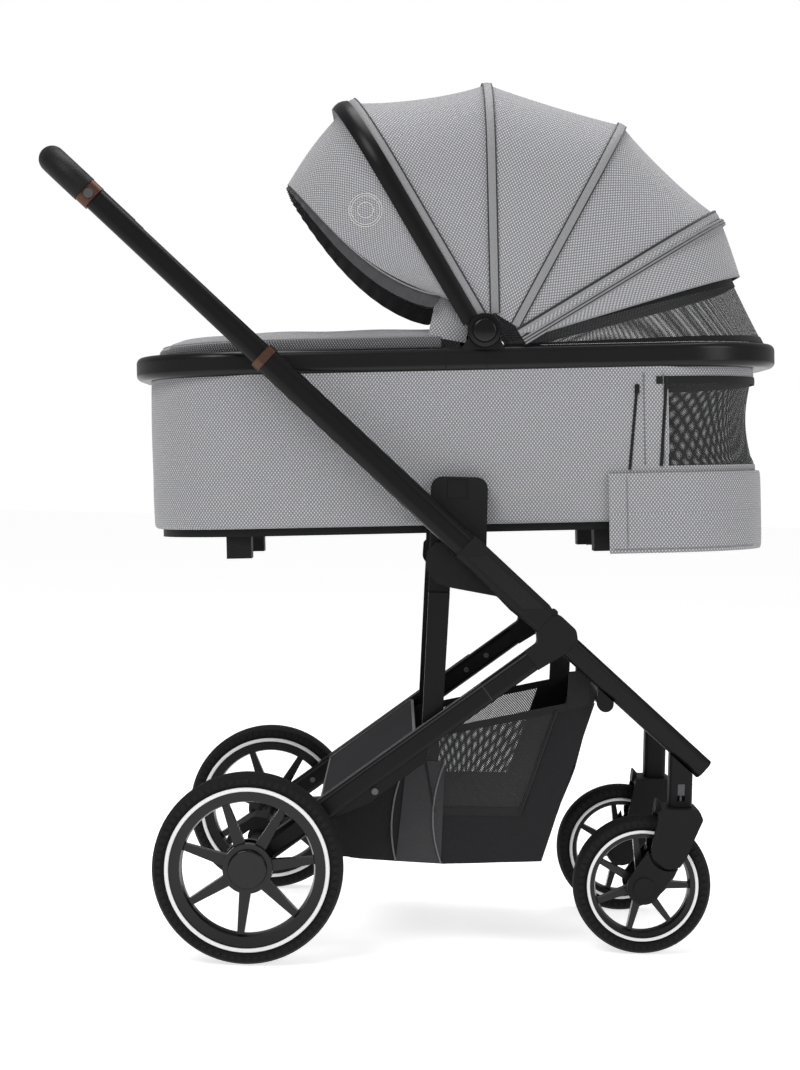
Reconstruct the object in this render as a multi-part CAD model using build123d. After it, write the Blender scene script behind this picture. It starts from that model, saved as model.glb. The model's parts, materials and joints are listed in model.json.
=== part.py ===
"""Baby stroller: a folding three-joint chassis with a lift-off carrycot and a folding hood.

Everything is drawn with the rear axle over X 0 and moved by REAR_AXLE_X when it is saved, so
that the frame's origin lies on the floor under the middle. +X is forward, +Y is the pusher's
left, +Z is up. Left-hand pieces are drawn first and mirrored for the right.
"""
import os
from math import cos, radians, sin, tan

from build123d import *

os.makedirs("parts", exist_ok=True)

# Stance
REAR_AXLE_X = -204.7
REAR_WHEEL_R = 127.0
FRONT_WHEEL_R = 95.0
REAR_TRACK = 277.5
FRONT_TRACK = 155.0
FRONT_HUB_X = 536.0
RUNNING = 0.06

# Push bar: a line in side view, from the elbow seam up to the grip
SEAM = (390.0, 460.0)
PUSH_DEG = 138.2
PUSH_Y = 235.0
HOUSING_LEN = 148.0
HOUSING_W = 30.0
HOUSING_H = 38.5
OUTER_W = 27.0
OUTER_H = 35.5
INNER_W = 22.8
INNER_H = 31.3
RING_T = 516.0
COLLAR_T = 835.0
GRIP_T = 912.0
GRIP_R = 18.5
BEND_R = 48.0
HINGE_IN = 2.75
HINGE_R = 4.2

# Legs
LEG_DEG = 37.0
LEG_H = 30.0
LEG_W = 26.0
FRONT_PIVOT = (416.0, 432.0)
FRONT_END = (618.0, 255.0)
FRONT_TOP_Y = 205.0
FRONT_END_Y = 148.0
FRONT_H = 30.0
FRONT_W = 22.0

# Casters
SWIVEL_X = 586.0
CROWN_Z = 203.4
ARM_PIVOT = (570.0, 147.6)

# Carrycot, drawn level and then tilted head-up about the adapters
COT_TILT = 2.5
COT_PIVOT = (271.0, 600.0)
COT_X = (-158.0, 697.0)
COT_W = 376.0
COT_BASE_Z = 585.0
RIM_Z = (794.0, 828.0)
RIM_X = (-178.0, 727.0)
RIM_W = 384.0
COT_WALL = 8.0

# Hood: bows turning about one hub each side, each panel nested in the one in front of it
HUB = (300.0, 850.0)
BOW_DEG = (27.8, 58.5, 90.7, 122.4)
HOOD_R = 336.0
HOOD_W = 176.0
LAYER = 5.5
HOOD_CORNER = 130.0
VISOR_DEG = 143.5

U = (cos(radians(PUSH_DEG)), sin(radians(PUSH_DEG)))
N = (U[1], -U[0])


def along(t, n=0.0):
    """A side-view point t up the push bar from the seam and n out from its middle line."""
    return SEAM[0] + t * U[0] + n * N[0], SEAM[1] + t * U[1] + n * N[1]


def outline(points):
    """A closed face in side view from (x, z, corner radius) points."""
    n = len(points)
    starts = []
    for i, (x, z, r) in enumerate(points):
        here = Vector(x, z)
        a = (Vector(*points[i - 1][:2]) - here).normalized()
        b = (Vector(*points[(i + 1) % n][:2]) - here).normalized()
        if r:
            half = radians(a.get_angle(b)) / 2
            mid = (a + b).normalized()
            reach = r / tan(half)
            centre = here + mid * (r / sin(half))
            starts.append((here + a * reach, centre - mid * r, here + b * reach))
        else:
            starts.append((here, None, here))
    edges = []
    for i, (first, middle, last) in enumerate(starts):
        if middle is not None:
            edges.append(ThreePointArc(first, middle, last).edge())
        edges.append(Line(last, starts[(i + 1) % n][0]).edge())
    return Face(Wire(edges))


def slab(face, y0, y1):
    """A side-view face made solid from y0 to y1."""
    place = Plane(origin=(0, y1, 0), x_dir=(1, 0, 0), z_dir=(0, -1, 0))
    return extrude(place * face, y1 - y0, dir=(0, -1, 0))


def disc(x, z, r, y0, y1):
    """A cylinder on a Y axis."""
    return slab(Pos(x, z) * Circle(r), y0, y1)


def bar(p0, p1, w, h, corner, wall=0.0):
    """A rounded bar between two points, w wide across Y and h deep, hollow with closed ends."""
    way = Vector(*p1) - Vector(*p0)
    unit = way.normalized()
    across = Vector(0, 1, 0) - unit * unit.Y
    place = Plane(origin=p0, x_dir=across, z_dir=way)
    made = extrude(place * RectangleRounded(w, h, corner), way.length)
    if wall:
        inside = RectangleRounded(w - 2 * wall, h - 2 * wall, corner - wall)
        core = Plane(origin=Vector(*p0) + unit * 3, x_dir=across, z_dir=way) * inside
        made -= extrude(core, way.length - 6)
    return made


def sleeve(t0, t1, w, h, corner, y=PUSH_Y):
    """A solid length of the push bar's oval between two stations."""
    a, b = along(t0), along(t1)
    return bar((a[0], y, a[1]), (b[0], y, b[1]), w, h, corner)


def hull_of(*circles):
    """The side-view face that wraps circles given as (x, z, radius)."""
    edges = []
    for x, z, r in circles:
        edges += (Pos(x, z) * Circle(r)).edges()
    return make_hull(edges)


def both(shape):
    """A left-hand piece and its mirror image."""
    return [shape, mirror(shape, about=Plane.XZ)]


def save(name, *shapes):
    """Writes one node, moved to its place in the row frame."""
    solids = []
    for shape in shapes:
        solids += (Pos(REAR_AXLE_X, 0, 0) * shape).solids()
    made = solids[0] if len(solids) == 1 else Compound(children=solids)
    export_step(made, f"parts/{name}.step")


def save_sides(name, shape):
    """Writes a left-hand node and its mirror as a right-hand node."""
    save(name + "_L", shape)
    save(name + "_R", mirror(shape, about=Plane.XZ))


def wheel_place(x, y, z):
    """A frame whose Z axis points outward along a left-hand axle."""
    return Plane(origin=(x, y, z), x_dir=(1, 0, 0), z_dir=(0, 1, 0))


def tyre(radius, seat, width):
    """A solid tyre with two grooves, about its own Z axis."""
    w = width / 2
    section = Polygon(
        (seat, -w * 0.70), (seat + 3, -w * 0.84), (radius - 9, -w), (radius - 4.5, -w * 0.93),
        (radius - 0.8, -w * 0.6), (radius, 0), (radius - 0.8, w * 0.6),
        (radius - 4.5, w * 0.93), (radius - 9, w), (seat + 3, w * 0.84), (seat, w * 0.70),
        align=None,
    )
    made = revolve(Plane.XZ * section, Axis.Z)
    for side in (-1, 1):
        cut = Pos(radius, side * w * 0.35) * Rectangle(3, 2)
        made -= revolve(Plane.XZ * cut, Axis.Z)
    return made


def rim_ring(inner, seat, width):
    """The channel that a tyre sits on, about its own Z axis."""
    w = width / 2
    section = Polygon(
        (inner + 2, -w * 0.9), (seat, -w), (seat, w), (inner + 2, w * 0.9), (inner, w * 0.4),
        (inner, -w * 0.4), align=None,
    )
    return revolve(Plane.XZ * section, Axis.Z)


def spokes(angles, r0, r1, w0, w1, z0, z1):
    """Tapered spokes from radius r0 to r1, from z0 to z1 high."""
    face = Polygon((r0, -w0 / 2), (r1, -w1 / 2), (r1, w1 / 2), (r0, w0 / 2), align=None)
    one = Pos(0, 0, z0) * extrude(face, z1 - z0)
    return [Rot(0, 0, a) * one for a in angles]


def rear_wheels():
    """Rear tyre, rim with brake ring and hub cap, each side on its own stub axle."""
    seat = 107.0
    made = rim_ring(88.0, seat, 34.0)
    for s in spokes([94.8, 148, 197.4, 249.3, 300, 352.1, 42.6], 20, 90, 17, 9, -6, 8):
        made += s
    made += Pos(0, 0, -27) * extrude(Circle(34), 8)
    made += Pos(0, 0, -27) * extrude(Circle(19), 41)
    made += Pos(0, 0, 0) * extrude(Circle(33), 14)
    made -= Pos(0, 0, -28) * extrude(Circle(6 + RUNNING), 40)
    ring = Pos(0, 0, -27.5) * extrude(Circle(3.6), 8)
    for k in range(12):
        a = radians(LEG_DEG + 30 * k)
        made -= Pos(26 * cos(a), -26 * sin(a), 0) * ring
    cap = Pos(0, 0, 14) * extrude(Circle(26), 6)
    cap = fillet(cap.edges().group_by(Axis.Z)[-1], 2.5)
    place = wheel_place(0, REAR_TRACK, REAR_WHEEL_R)
    save_sides("rear_tyre", place * tyre(REAR_WHEEL_R, seat, 45.0))
    save_sides("rear_rim", place * made)
    save_sides("rear_cap", place * cap)


def front_wheels():
    """Front tyre and rim, running on the fork arm's axle."""
    seat = 76.0
    made = rim_ring(64.0, seat, 30.0)
    for s in spokes([0, 51.4, 104.3, 157.6, 208, 260.9, 309.7], 12, 66, 12, 7, -7, 7):
        made += s
    made += Pos(0, 0, -20.4) * extrude(Circle(17), 40.8)
    made -= Pos(0, 0, -21) * extrude(Circle(5 + RUNNING), 42)
    place = wheel_place(FRONT_HUB_X, FRONT_TRACK, FRONT_WHEEL_R)
    save_sides("front_tyre", place * tyre(FRONT_WHEEL_R, seat, 40.0))
    save_sides("front_rim", place * made)


ELBOW = [
    (*along(0, 19.25), 0), (*along(-37, 19.25), 12), (433, 434, 8), (411, 414.5, 4),
    (380.5, 395.0, 0), (373.5, 407.5, 0), (363.0, 418.5, 0), (379, 430.5, 8),
    (*along(0, -19.25), 0),
]


def fold_chamfer(side):
    """The sliver taken off the top edge beside the fold hinge; side is 1 above the seam."""
    face = outline([
        (*along(side * -0.2, 19.25 - HINGE_IN - 0.35), 0), (*along(side * 12.5, 19.4), 0),
        (*along(side * 12.5, 30), 0), (*along(side * -0.2, 30), 0),
    ])
    return slab(face, 215, 255)


def elbows():
    """Elbow casting with the middle knuckle of the fold hinge and the front-leg pin."""
    px, pz = along(0, 19.25 - HINGE_IN)
    y0, y1 = PUSH_Y - HOUSING_W / 2, PUSH_Y + HOUSING_W / 2
    made = slab(outline(ELBOW), y0, y1)
    made -= fold_chamfer(-1)
    made -= disc(px, pz, HINGE_R + 0.4, y0 - 1, 228.8)
    made -= disc(px, pz, HINGE_R + 0.4, 241.2, y1 + 1)
    made += disc(px, pz, HINGE_R, 229, 241)
    made += disc(px, pz, 1.8, y0 + 1, y1 - 1)
    made += disc(*FRONT_PIVOT, 6, 191, y0)
    save("elbows", *both(made))


def rear_legs():
    """Rear leg tube with its lower flange, bored for the axle and the brake pin."""
    ux, uz = cos(radians(LEG_DEG)), sin(radians(LEG_DEG))
    y0, y1 = PUSH_Y - LEG_W / 2, PUSH_Y + LEG_W / 2
    hub_z = REAR_WHEEL_R
    start = (-6 * ux, PUSH_Y, hub_z - 6 * uz)
    end = (490 * ux, PUSH_Y, hub_z + 490 * uz)
    made = bar(start, end, LEG_W, LEG_H, 7)
    flange = outline([
        (100, 185, 0), (158, 211, 16), (233, 268, 10), (236, 292, 0), (110, 200, 0),
    ])
    made += slab(flange, y0 + 3, y1 - 3)
    hollow = bar((60 * ux, PUSH_Y, hub_z + 60 * uz), (470 * ux, PUSH_Y, hub_z + 470 * uz),
                 LEG_W - 4, LEG_H - 4, 5)
    made += disc(0, hub_z, 17, y0, y1)
    beyond = outline([
        (380.5, 395.0, 0), (373.5, 407.5, 0), (363.0, 418.5, 0), (340, 470, 0), (500, 470, 0),
        (500, 360, 0),
    ])
    made -= slab(beyond, y0 - 5, y1 + 5)
    cavity = hollow - slab(outline([
        (375, 388, 0), (366, 404, 0), (352, 422, 0), (340, 480, 0), (500, 480, 0), (500, 350, 0),
    ]), y0 - 5, y1 + 5)
    made -= cavity
    made -= disc(0, hub_z, 11, y0 - 1, y1 + 1)
    made -= disc(26 * ux, hub_z + 26 * uz, 3 + RUNNING, 230, y1 + 1)
    save("rear_legs", *both(made))


def rear_axles():
    """Cross tube between the rear legs with a stub axle at each end."""
    tube = disc(0, REAR_WHEEL_R, 11, -247, 247)
    tube -= disc(0, REAR_WHEEL_R, 9, -200, 200)
    for side in both(disc(0, REAR_WHEEL_R, 6, 246, 288)):
        tube += side
    save("rear_axle", tube)


def posts():
    """Upright posts, inboard of the legs, halved at the top behind the seat brackets."""
    face = outline([(227, 296, 6), (254, 296, 6), (262, 528, 6), (233, 528, 6)])
    made = slab(face, 207, 219.6)
    foot = outline([(229, 300, 4), (253, 300, 4), (254, 334, 0), (228, 316, 0)])
    made += slab(foot, 219.6, 222)
    made -= slab(outline([(200, 494, 0), (300, 494, 0), (300, 560, 0), (200, 560, 0)]), 211.9, 225)
    core = outline([(232, 330, 0), (250.5, 330, 0), (256, 485, 0), (236, 485, 0)])
    made -= slab(core, 209, 217.6)
    save("posts", *both(made))


def seat_brackets():
    """Side plates from the ear on the post to the elbow, inboard of the fold housings."""
    face = outline([
        (229, 549, 4), (228, 526, 12), (241, 507, 10), (263, 501, 10), (324, 491, 8),
        (342, 473, 8), (372, 450, 0), (392, 436, 6), (398, 446, 6), (396, 470, 8),
        (300, 562, 4), (240, 562, 6),
    ])
    made = slab(face, 212, 219.6)
    save("seat_brackets", *both(made))


def adapters():
    """Upright plates that hold the carrycot, each with a ledge and a button pocket."""
    plate = outline([(233, 531, 5), (309, 531, 5), (309, 651, 16), (232, 651, 16)])
    made = slab(plate, 196, 211.9)
    ledge = outline([(246, 572, 3), (296, 572, 3), (296, 584, 1), (246, 584, 1)])
    made += slab(ledge, 190.4, 197)
    made -= slab(outline([(254, 622, 1), (282, 622, 1), (282, 648, 1), (254, 648, 1)]), 199, 215)
    save("adapters", *both(made))
    button = slab(outline([
        (254.4, 622.4, 1), (281.6, 622.4, 1), (281.6, 647.6, 1), (254.4, 647.6, 1),
    ]), 203.2, 211.0)
    save_sides("adapter_button", button)


def rear_panel():
    """Framed cover between the rear legs above the back of the basket."""
    ux, uz = cos(radians(LEG_DEG)), sin(radians(LEG_DEG))
    def strip(a, b, n0, n1):
        return outline([
            (a * ux - n0 * uz, 127 + a * uz + n0 * ux, 0),
            (b * ux - n0 * uz, 127 + b * uz + n0 * ux, 0),
            (b * ux - n1 * uz, 127 + b * uz + n1 * ux, 0),
            (a * ux - n1 * uz, 127 + a * uz + n1 * ux, 0),
        ])
    made = slab(strip(124, 280, 6, 14), -221.5, 221.5)
    made -= slab(strip(132, 272, 11, 15), -212, 212)
    made -= slab(strip(132, 272, 5, 8), -212, 212)
    save("rear_panel", made)


BASKET = [
    (95, 197, 10), (108, 140, 20), (134, 122, 14), (216, 118, 60), (396, 126, 8),
    (415, 190, 60), (438, 249, 60), (465.3, 354, 0), (226, 300, 0),
]


def basket():
    """Open-topped fabric basket hung between the rear panel and the front cross tube."""
    inner = [
        (98.5, 200, 8), (111, 142, 18), (135, 125, 12), (216, 121, 60), (394, 129, 6),
        (412, 190, 60), (435, 250, 60), (462, 356, 0), (462, 420, 0), (226, 420, 0),
    ]
    made = slab(outline(BASKET), -185, 185)
    made -= slab(outline(inner), -182, 182)
    save("basket", made)


def front_frame():
    """Front legs, the cross tube between them and the swivel housings under their ends."""
    p0 = (FRONT_PIVOT[0], FRONT_TOP_Y, FRONT_PIVOT[1])
    p1 = (FRONT_END[0], FRONT_END_Y, FRONT_END[1])
    leg = bar(p0, p1, FRONT_W, FRONT_H, 9, 2.0)
    leg += disc(*FRONT_PIVOT, 15, 192, 218)
    leg -= disc(*FRONT_PIVOT, 6 + RUNNING, 185, 225)
    save("front_legs", *both(leg))

    way = (Vector(*p1) - Vector(*p0)).normalized()
    across = Vector(0, 1, 0) - way * way.Y
    up = way.cross(across).normalized()
    if up.Z < 0:
        up = -up
    under = Vector(*p0) - up * (FRONT_H / 2)
    above = Plane(origin=under, x_dir=across, z_dir=up) * Rectangle(900, 900)
    above = extrude(above, 120)

    lug = disc(477, 346, 11, 179, 195)
    lug += slab(outline([(466, 346, 0), (488, 346, 0), (488, 380, 0), (466, 380, 0)]), 179, 195)
    lug -= above
    tube = disc(477, 346, 8, -180, 180)
    for side in both(lug):
        tube += side
    save("front_cross", tube)

    y = FRONT_TRACK
    block = Pos(SWIVEL_X, y, 204) * extrude(RectangleRounded(32, 30, 6), 110)
    block -= above
    block -= Pos(SWIVEL_X, y, 200) * extrude(Circle(6 + RUNNING), 48)
    window = Pos(SWIVEL_X, y + 12, 212) * extrude(Rectangle(10.6, 8), 24)
    block -= window
    block -= Pos(SWIVEL_X, y + 11, 203) * extrude(Circle(2.6), 10)
    save("swivel_housings", *both(block))

    slider = Pos(SWIVEL_X, y + 12.3, 220.4) * extrude(RectangleRounded(10.0, 7.0, 1), 15.2)
    slider += Pos(SWIVEL_X, y + 11, 204.6) * extrude(Circle(2.3), 16.5)
    save_sides("swivel_lock", slider)


def casters():
    """Fork crown with two cheeks and a stem, and the sprung arm that carries the wheel."""
    y = FRONT_TRACK
    px, pz = ARM_PIVOT
    cheek = outline([
        (556, CROWN_Z, 5), (609, CROWN_Z, 7), (615, 190, 4), (603, 162, 6), (594.5, 140, 8),
        (585, 124, 8), (566, 121, 8), (546, 136, 10), (545, 150, 6), (553, 188, 6),
    ])
    made = slab(cheek, y - 36, y - 28) + slab(cheek, y + 28, y + 36)
    crown = outline([
        (556, CROWN_Z, 3), (609, CROWN_Z, 3), (613, 193, 0), (606, 174, 0), (551, 180, 0),
    ])
    made += slab(crown, y - 29, y + 29)
    made -= disc(FRONT_HUB_X, FRONT_WHEEL_R, 101.5, y - 27.9, y + 27.9)
    made += Pos(SWIVEL_X, y, CROWN_Z - 4) * extrude(Circle(6), 48)
    ear = outline([(551, 196, 0), (558.5, 196, 0), (558.5, 210, 2), (553, 216, 2)])
    made += slab(ear, y - 14, y + 14)
    for dx, dy in ((0, 11), (0, -11), (11, 0), (-11, 0)):
        made -= Pos(SWIVEL_X + dx, y + dy, 194.5) * extrude(Circle(2.9), 12)
    made += disc(px, pz, 4, y + 21.2, y + 29)
    made += disc(px, pz, 4, y - 29, y - 21.2)
    save_sides("caster", made)

    hx, hz = FRONT_HUB_X, FRONT_WHEEL_R
    plate = hull_of((hx, hz, 23), (px + 1, pz, 24))
    tongue = hull_of((hx, hz, 20), (px, pz, 15))
    arm = slab(plate, y + 28, y + 36) + slab(plate, y - 36, y - 28)
    arm -= disc(px, pz, 29.0, y - 40, y + 40)
    arm += slab(tongue, y + 21.3, y + 27.6) + slab(tongue, y - 27.6, y - 21.3)
    reach = slab(Pos(hx, hz) * Circle(20), y + 27.6, y + 28)
    arm += reach + slab(Pos(hx, hz) * Circle(20), y - 28, y - 27.6)
    arm -= disc(px, pz, 4 + RUNNING, y - 40, y + 40)
    arm += disc(hx, hz, 5, y - 30, y + 30)
    for part in (disc(hx, hz, 14, y + 36, y + 38), disc(hx, hz, 14, y - 38, y - 36)):
        arm += part
    save_sides("fork_arm", arm)


def push_bar():
    """Fold housings with inlays, outer tubes, bronze rings, and the sliding handle."""
    px, pz = along(0, 19.25 - HINGE_IN)
    y0, y1 = PUSH_Y - HOUSING_W / 2, PUSH_Y + HOUSING_W / 2
    made = sleeve(0.3, HOUSING_LEN, HOUSING_W, HOUSING_H, 7)
    made -= sleeve(40, HOUSING_LEN + 1, OUTER_W, OUTER_H, 12)
    made -= fold_chamfer(1)
    made -= disc(px, pz, HINGE_R + 0.4, 228.7, 241.3)
    made += disc(px, pz, HINGE_R, y0 + 0.6, 228.6)
    made += disc(px, pz, HINGE_R, 241.4, y1 - 0.6)
    made -= disc(px, pz, 1.8 + RUNNING, y0 - 1, y1 + 1)
    inlay = outline([
        (*along(14, 11.5), 0), (*along(119, 11.5), 0), (*along(135, -9), 0), (*along(34, -9), 0),
    ])
    made -= slab(inlay, y1 - 1.0, y1 + 2)
    save("fold_housings", *both(made))
    save("inlays", *both(slab(inlay, y1 - 1.0, y1 + 0.4)))

    outer = sleeve(40, RING_T, OUTER_W, OUTER_H, 12)
    outer -= sleeve(42, RING_T + 1, OUTER_W - 3.6, OUTER_H - 3.6, 10.5)
    save("outer_tubes", *both(outer))
    ring = sleeve(RING_T - 6, RING_T + 6, OUTER_W + 2.6, OUTER_H + 2.6, 13)
    ring -= sleeve(RING_T - 7, RING_T, OUTER_W, OUTER_H, 12)
    ring -= sleeve(RING_T - 7, RING_T + 7, OUTER_W - 3.6, OUTER_H - 3.6, 10.5)
    save("tube_rings", *both(ring))

    inner = sleeve(300, GRIP_T - 52, INNER_W, INNER_H, 10.8)
    inner -= sleeve(299, GRIP_T - 55, INNER_W - 3.2, INNER_H - 3.2, 9.2)
    save("inner_tubes", *both(inner))
    collar = sleeve(COLLAR_T - 9, COLLAR_T + 9, 27.5, 35.5, 12)
    collar -= sleeve(COLLAR_T - 10, COLLAR_T + 10, INNER_W, INNER_H, 10.8)
    save("collars", *both(collar))
    rx, rz = along(COLLAR_T, 0)
    save("rivets", *both(disc(rx, rz, 6.5, PUSH_Y + 13.75, PUSH_Y + 15.2)))

    def at(t, y):
        x, z = along(t)
        return Vector(x, y, z)
    low, high = COLLAR_T + 9, GRIP_T
    side = Vector(0, 1, 0)
    turn = at(high - BEND_R, PUSH_Y - BEND_R)
    diagonal = (at(high, 0) - at(high - 1, 0) + side).normalized()
    first = Line(at(low, PUSH_Y), at(high - BEND_R, PUSH_Y))
    bend = ThreePointArc(at(high - BEND_R, PUSH_Y), turn + diagonal * BEND_R,
                         at(high, PUSH_Y - BEND_R))
    middle = Line(at(high, PUSH_Y - BEND_R), at(high, 0))
    path = Wire([first.edge(), bend.edge(), middle.edge()])
    start = Plane(origin=at(low, PUSH_Y), z_dir=at(1, 0) - at(0, 0))
    half = sweep(start * Circle(GRIP_R), path)
    grip = half + mirror(half, about=Plane.XZ)
    for tube in both(sleeve(COLLAR_T, GRIP_T - 52, INNER_W, INNER_H, 10.8)):
        grip -= tube
    face = Plane(origin=at(high - 14, 0), x_dir=(0, 1, 0), z_dir=at(0, 0) - at(1, 0))
    grip -= extrude(face * RectangleRounded(62, 13, 4), 12)
    save("grip", grip)
    button = extrude(face * RectangleRounded(61.2, 12.2, 3.6), 7)
    save("height_button", Pos(*(at(0, 0) - at(3.6, 0))) * button)


def brakes():
    """Brake pedal turning on the axle tube, and the pins it drives out into the wheels."""
    z = REAR_WHEEL_R
    lever = outline([
        (16, z + 12, 4), (13, z + 27, 8), (-8, z + 30, 9), (-30, z + 16, 12), (-49, z - 6, 4),
        (-43, z - 13, 4), (-24, z + 3, 14), (-10, z + 13, 4),
    ])
    made = slab(lever, -30, 30) + disc(0, z, 17, -30, 30)
    made -= disc(0, z, 11 + RUNNING, -31, 31)
    save("brake_pedal", made)
    ux, uz = cos(radians(LEG_DEG)), sin(radians(LEG_DEG))
    pin = disc(26 * ux, z + 26 * uz, 3, 235, 249.4)
    save_sides("brake_pin", pin)


def screws():
    """Screw heads on the legs and the posts."""
    heads = []
    heads += both(disc(166, 227, 4.5, 245, 247.2))
    for x, z in ((241, 310), (243, 345), (247, 470)):
        heads += both(disc(x, z, 4.5, 205.2, 207))
    for x, z in ((66, 177), (300, 353), (330, 376)):
        heads += both(disc(x, z, 4.0, 220.2, 222))
    save("frame_screws", *heads)


def tilt(shape):
    """Turns a level carrycot piece head-up about the adapters."""
    x, z = COT_PIVOT
    return Pos(x, 0, z) * Rot(0, -COT_TILT, 0) * Pos(-x, 0, -z) * shape


def cot_plan(x0, x1, w, r, z0, z1):
    """A level rounded slab with its plan from x0 to x1."""
    plan = Pos((x0 + x1) / 2, 0, z0) * RectangleRounded(x1 - x0, w, r)
    return extrude(plan, z1 - z0)


def block(x0, x1, y0, y1, z0, z1):
    """A plain box between corners."""
    return Pos((x0 + x1) / 2, (y0 + y1) / 2, (z0 + z1) / 2) * Box(x1 - x0, y1 - y0, z1 - z0)


def carrycot():
    """Tub, base, rim, window mesh and flap, mattress and apron."""
    x0, x1 = COT_X
    t = COT_WALL
    top = RIM_Z[0]
    tub = cot_plan(x0, x1, COT_W, 150, COT_BASE_Z, top)
    tub -= cot_plan(x0 + t, x1 - t, COT_W - 2 * t, 150 - t, COT_BASE_Z + 10, top + 1)
    opening = block(572, x1 + 5, -COT_W, COT_W, 660, 784)
    wall = cot_plan(x0 + 3, x1 - 3, COT_W - 6, 147, 660, 784)
    wall -= cot_plan(x0 + 5, x1 - 5, COT_W - 10, 145, 659, 785)
    mesh = wall & opening
    tub -= opening
    save("tub", tilt(tub))
    save("window_mesh", tilt(mesh))

    base = cot_plan(x0 + 12, x1 - 12, COT_W - 24, 138, COT_BASE_Z - 10, COT_BASE_Z)
    for fx in (-30.6, 473.7):
        for side in both(block(fx - 17, fx + 17, 125, 165, COT_BASE_Z - 40, COT_BASE_Z - 9)):
            base += side
    save("cot_base", tilt(base))
    lug = slab(outline([(248, 584.2, 2), (294, 584.2, 2), (294, 640, 6), (248, 640, 6)]),
               COT_W / 2, 195.6)
    save("cot_lugs", *both(lug))

    rim = cot_plan(*RIM_X, RIM_W, 150, *RIM_Z)
    rim = fillet(rim.edges().group_by(Axis.Z)[-1] + rim.edges().group_by(Axis.Z)[0], 9)
    rim -= cot_plan(x0 + 12, x1 - 12, COT_W - 24, 138, RIM_Z[0] - 1, RIM_Z[1] + 1)
    save("cot_rim", tilt(rim))

    mattress = cot_plan(x0 + 10, x1 - 10, COT_W - 20, 140, COT_BASE_Z + 10.3, COT_BASE_Z + 38)
    mattress = fillet(mattress.edges().group_by(Axis.Z)[-1], 12)
    save("mattress", tilt(mattress))

    cover = cot_plan(x0 + 13, x1 - 13, COT_W - 26, 137, 812, 846)
    cover = fillet(cover.edges().group_by(Axis.Z)[-1], 18)
    cover -= cot_plan(x0 + 23, x1 - 23, COT_W - 46, 127, 811, 836)
    cover -= block(258, x1, -COT_W, COT_W, 800, 860)
    save("apron", tilt(cover))

    flap = cot_plan(x0 - 15, x1 + 15, COT_W + 30, 165, 541, 652)
    flap -= cot_plan(x0 - 0.4, x1 + 0.4, COT_W + 0.8, 150, 540, 653)
    flap &= block(487, x1 + 20, -COT_W, COT_W, 540, 653)
    save("window_flap", tilt(flap))


def arch(w, r, foot):
    """Half of a hood arch in (y, radius): up from the hub, round the corner, to the middle."""
    c = HOOD_CORNER
    s = c * (1 - cos(radians(45)))
    return [
        Line((w, foot), (w, r - c)),
        ThreePointArc((w, r - c), (w - s, r - s), (w - c, r)),
        Line((w - c, r), (c - w, r)),
        ThreePointArc((c - w, r), (s - w, r - s), (-w, r - c)),
        Line((-w, r - c), (-w, foot)),
    ]


def arch_band(w0, r0, w1, r1, foot):
    """The face between an inner and an outer arch."""
    edges = [e.edge() for e in arch(w0, r0, foot) + arch(w1, r1, foot)]
    edges.append(Line((w0, foot), (w1, foot)).edge())
    edges.append(Line((-w0, foot), (-w1, foot)).edge())
    return Face(Wire(edges))


def bow_plane(deg):
    """A plane holding the hub axis, with its local Y pointing out at an angle above +X."""
    a = radians(deg)
    return Plane(origin=(HUB[0], 0, HUB[1]), x_dir=(0, 1, 0), z_dir=(sin(a), 0, -cos(a)))


def hood_shell(layer, deg0, deg1, foot):
    """A panel that is part of a turned shell, from one angle to the next."""
    w, r = HOOD_W + LAYER * layer, HOOD_R + LAYER * layer
    face = bow_plane(deg0) * arch_band(w - 2, r - 2, w, r, foot)
    axis = Axis((HUB[0], 0, HUB[1]), (0, -1, 0))
    return revolve(face, axis, deg1 - deg0)


def bow(layer, deg, width, grow_w, grow_r, boss):
    """A bow just outside its panel's layer, with a boss on the hub pin at each end."""
    w, r = HOOD_W + LAYER * layer, HOOD_R + LAYER * layer
    face = bow_plane(deg) * arch_band(w, r, w + grow_w, r + grow_r, 0)
    made = extrude(face, width / 2, both=True)
    for side in both(disc(*HUB, boss, w, w + grow_w)):
        made += side
    return made


def hood():
    """Hub blocks, three turning bows with their panels and visor, and the fixed rear."""
    w = HOOD_W
    hub = outline([
        (278, 816, 2), (322, 818, 2), (319, 842, 4), (313, 864, 8), (287, 864, 8), (281, 842, 4),
    ])
    made = slab(hub, 160, w - 0.2) + disc(*HUB, 5, w - 3, w + 3 * LAYER + 10)
    save("hood_hubs", *both(made))
    hole = both(disc(*HUB, 5 + RUNNING, w - 10, w + 40))

    fixed = bow(0, BOW_DEG[0], 8, 3, 3, 13)
    for side in both(disc(*HUB, 5, w - 10, w + 40)):
        fixed -= side
    save("bow_rear", fixed)
    save("hood_rear", hood_shell(0, 0.6, BOW_DEG[0] + 1, 32))

    names = ("bow_3", "bow_2", "bow_1")
    for k, name in enumerate(names):
        layer = k + 1
        if name == "bow_1":
            made = bow(layer, BOW_DEG[layer], 17, 6, 22.5, 23)
            cap = both(disc(*HUB, 21, w + 3 * LAYER + 6, w + 3 * LAYER + 12))
            made += cap[0] + cap[1]
            for side in both(disc(*HUB, 5 + RUNNING, w, w + 3 * LAYER + 10.2)):
                made -= side
        else:
            made = bow(layer, BOW_DEG[layer], 8, 3, 3, 13)
            for side in hole:
                made -= side
        save(name, made)
        panel = hood_shell(layer, BOW_DEG[layer - 1] + 0.5, BOW_DEG[layer], 32)
        save("panel_" + name[-1], panel)
    save("visor", hood_shell(3, BOW_DEG[3], VISOR_DEG, 120))


rear_wheels()
front_wheels()
elbows()
rear_legs()
rear_axles()
posts()
seat_brackets()
adapters()
rear_panel()
basket()
front_frame()
casters()
push_bar()
brakes()
screws()
carrycot()
hood()
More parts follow.
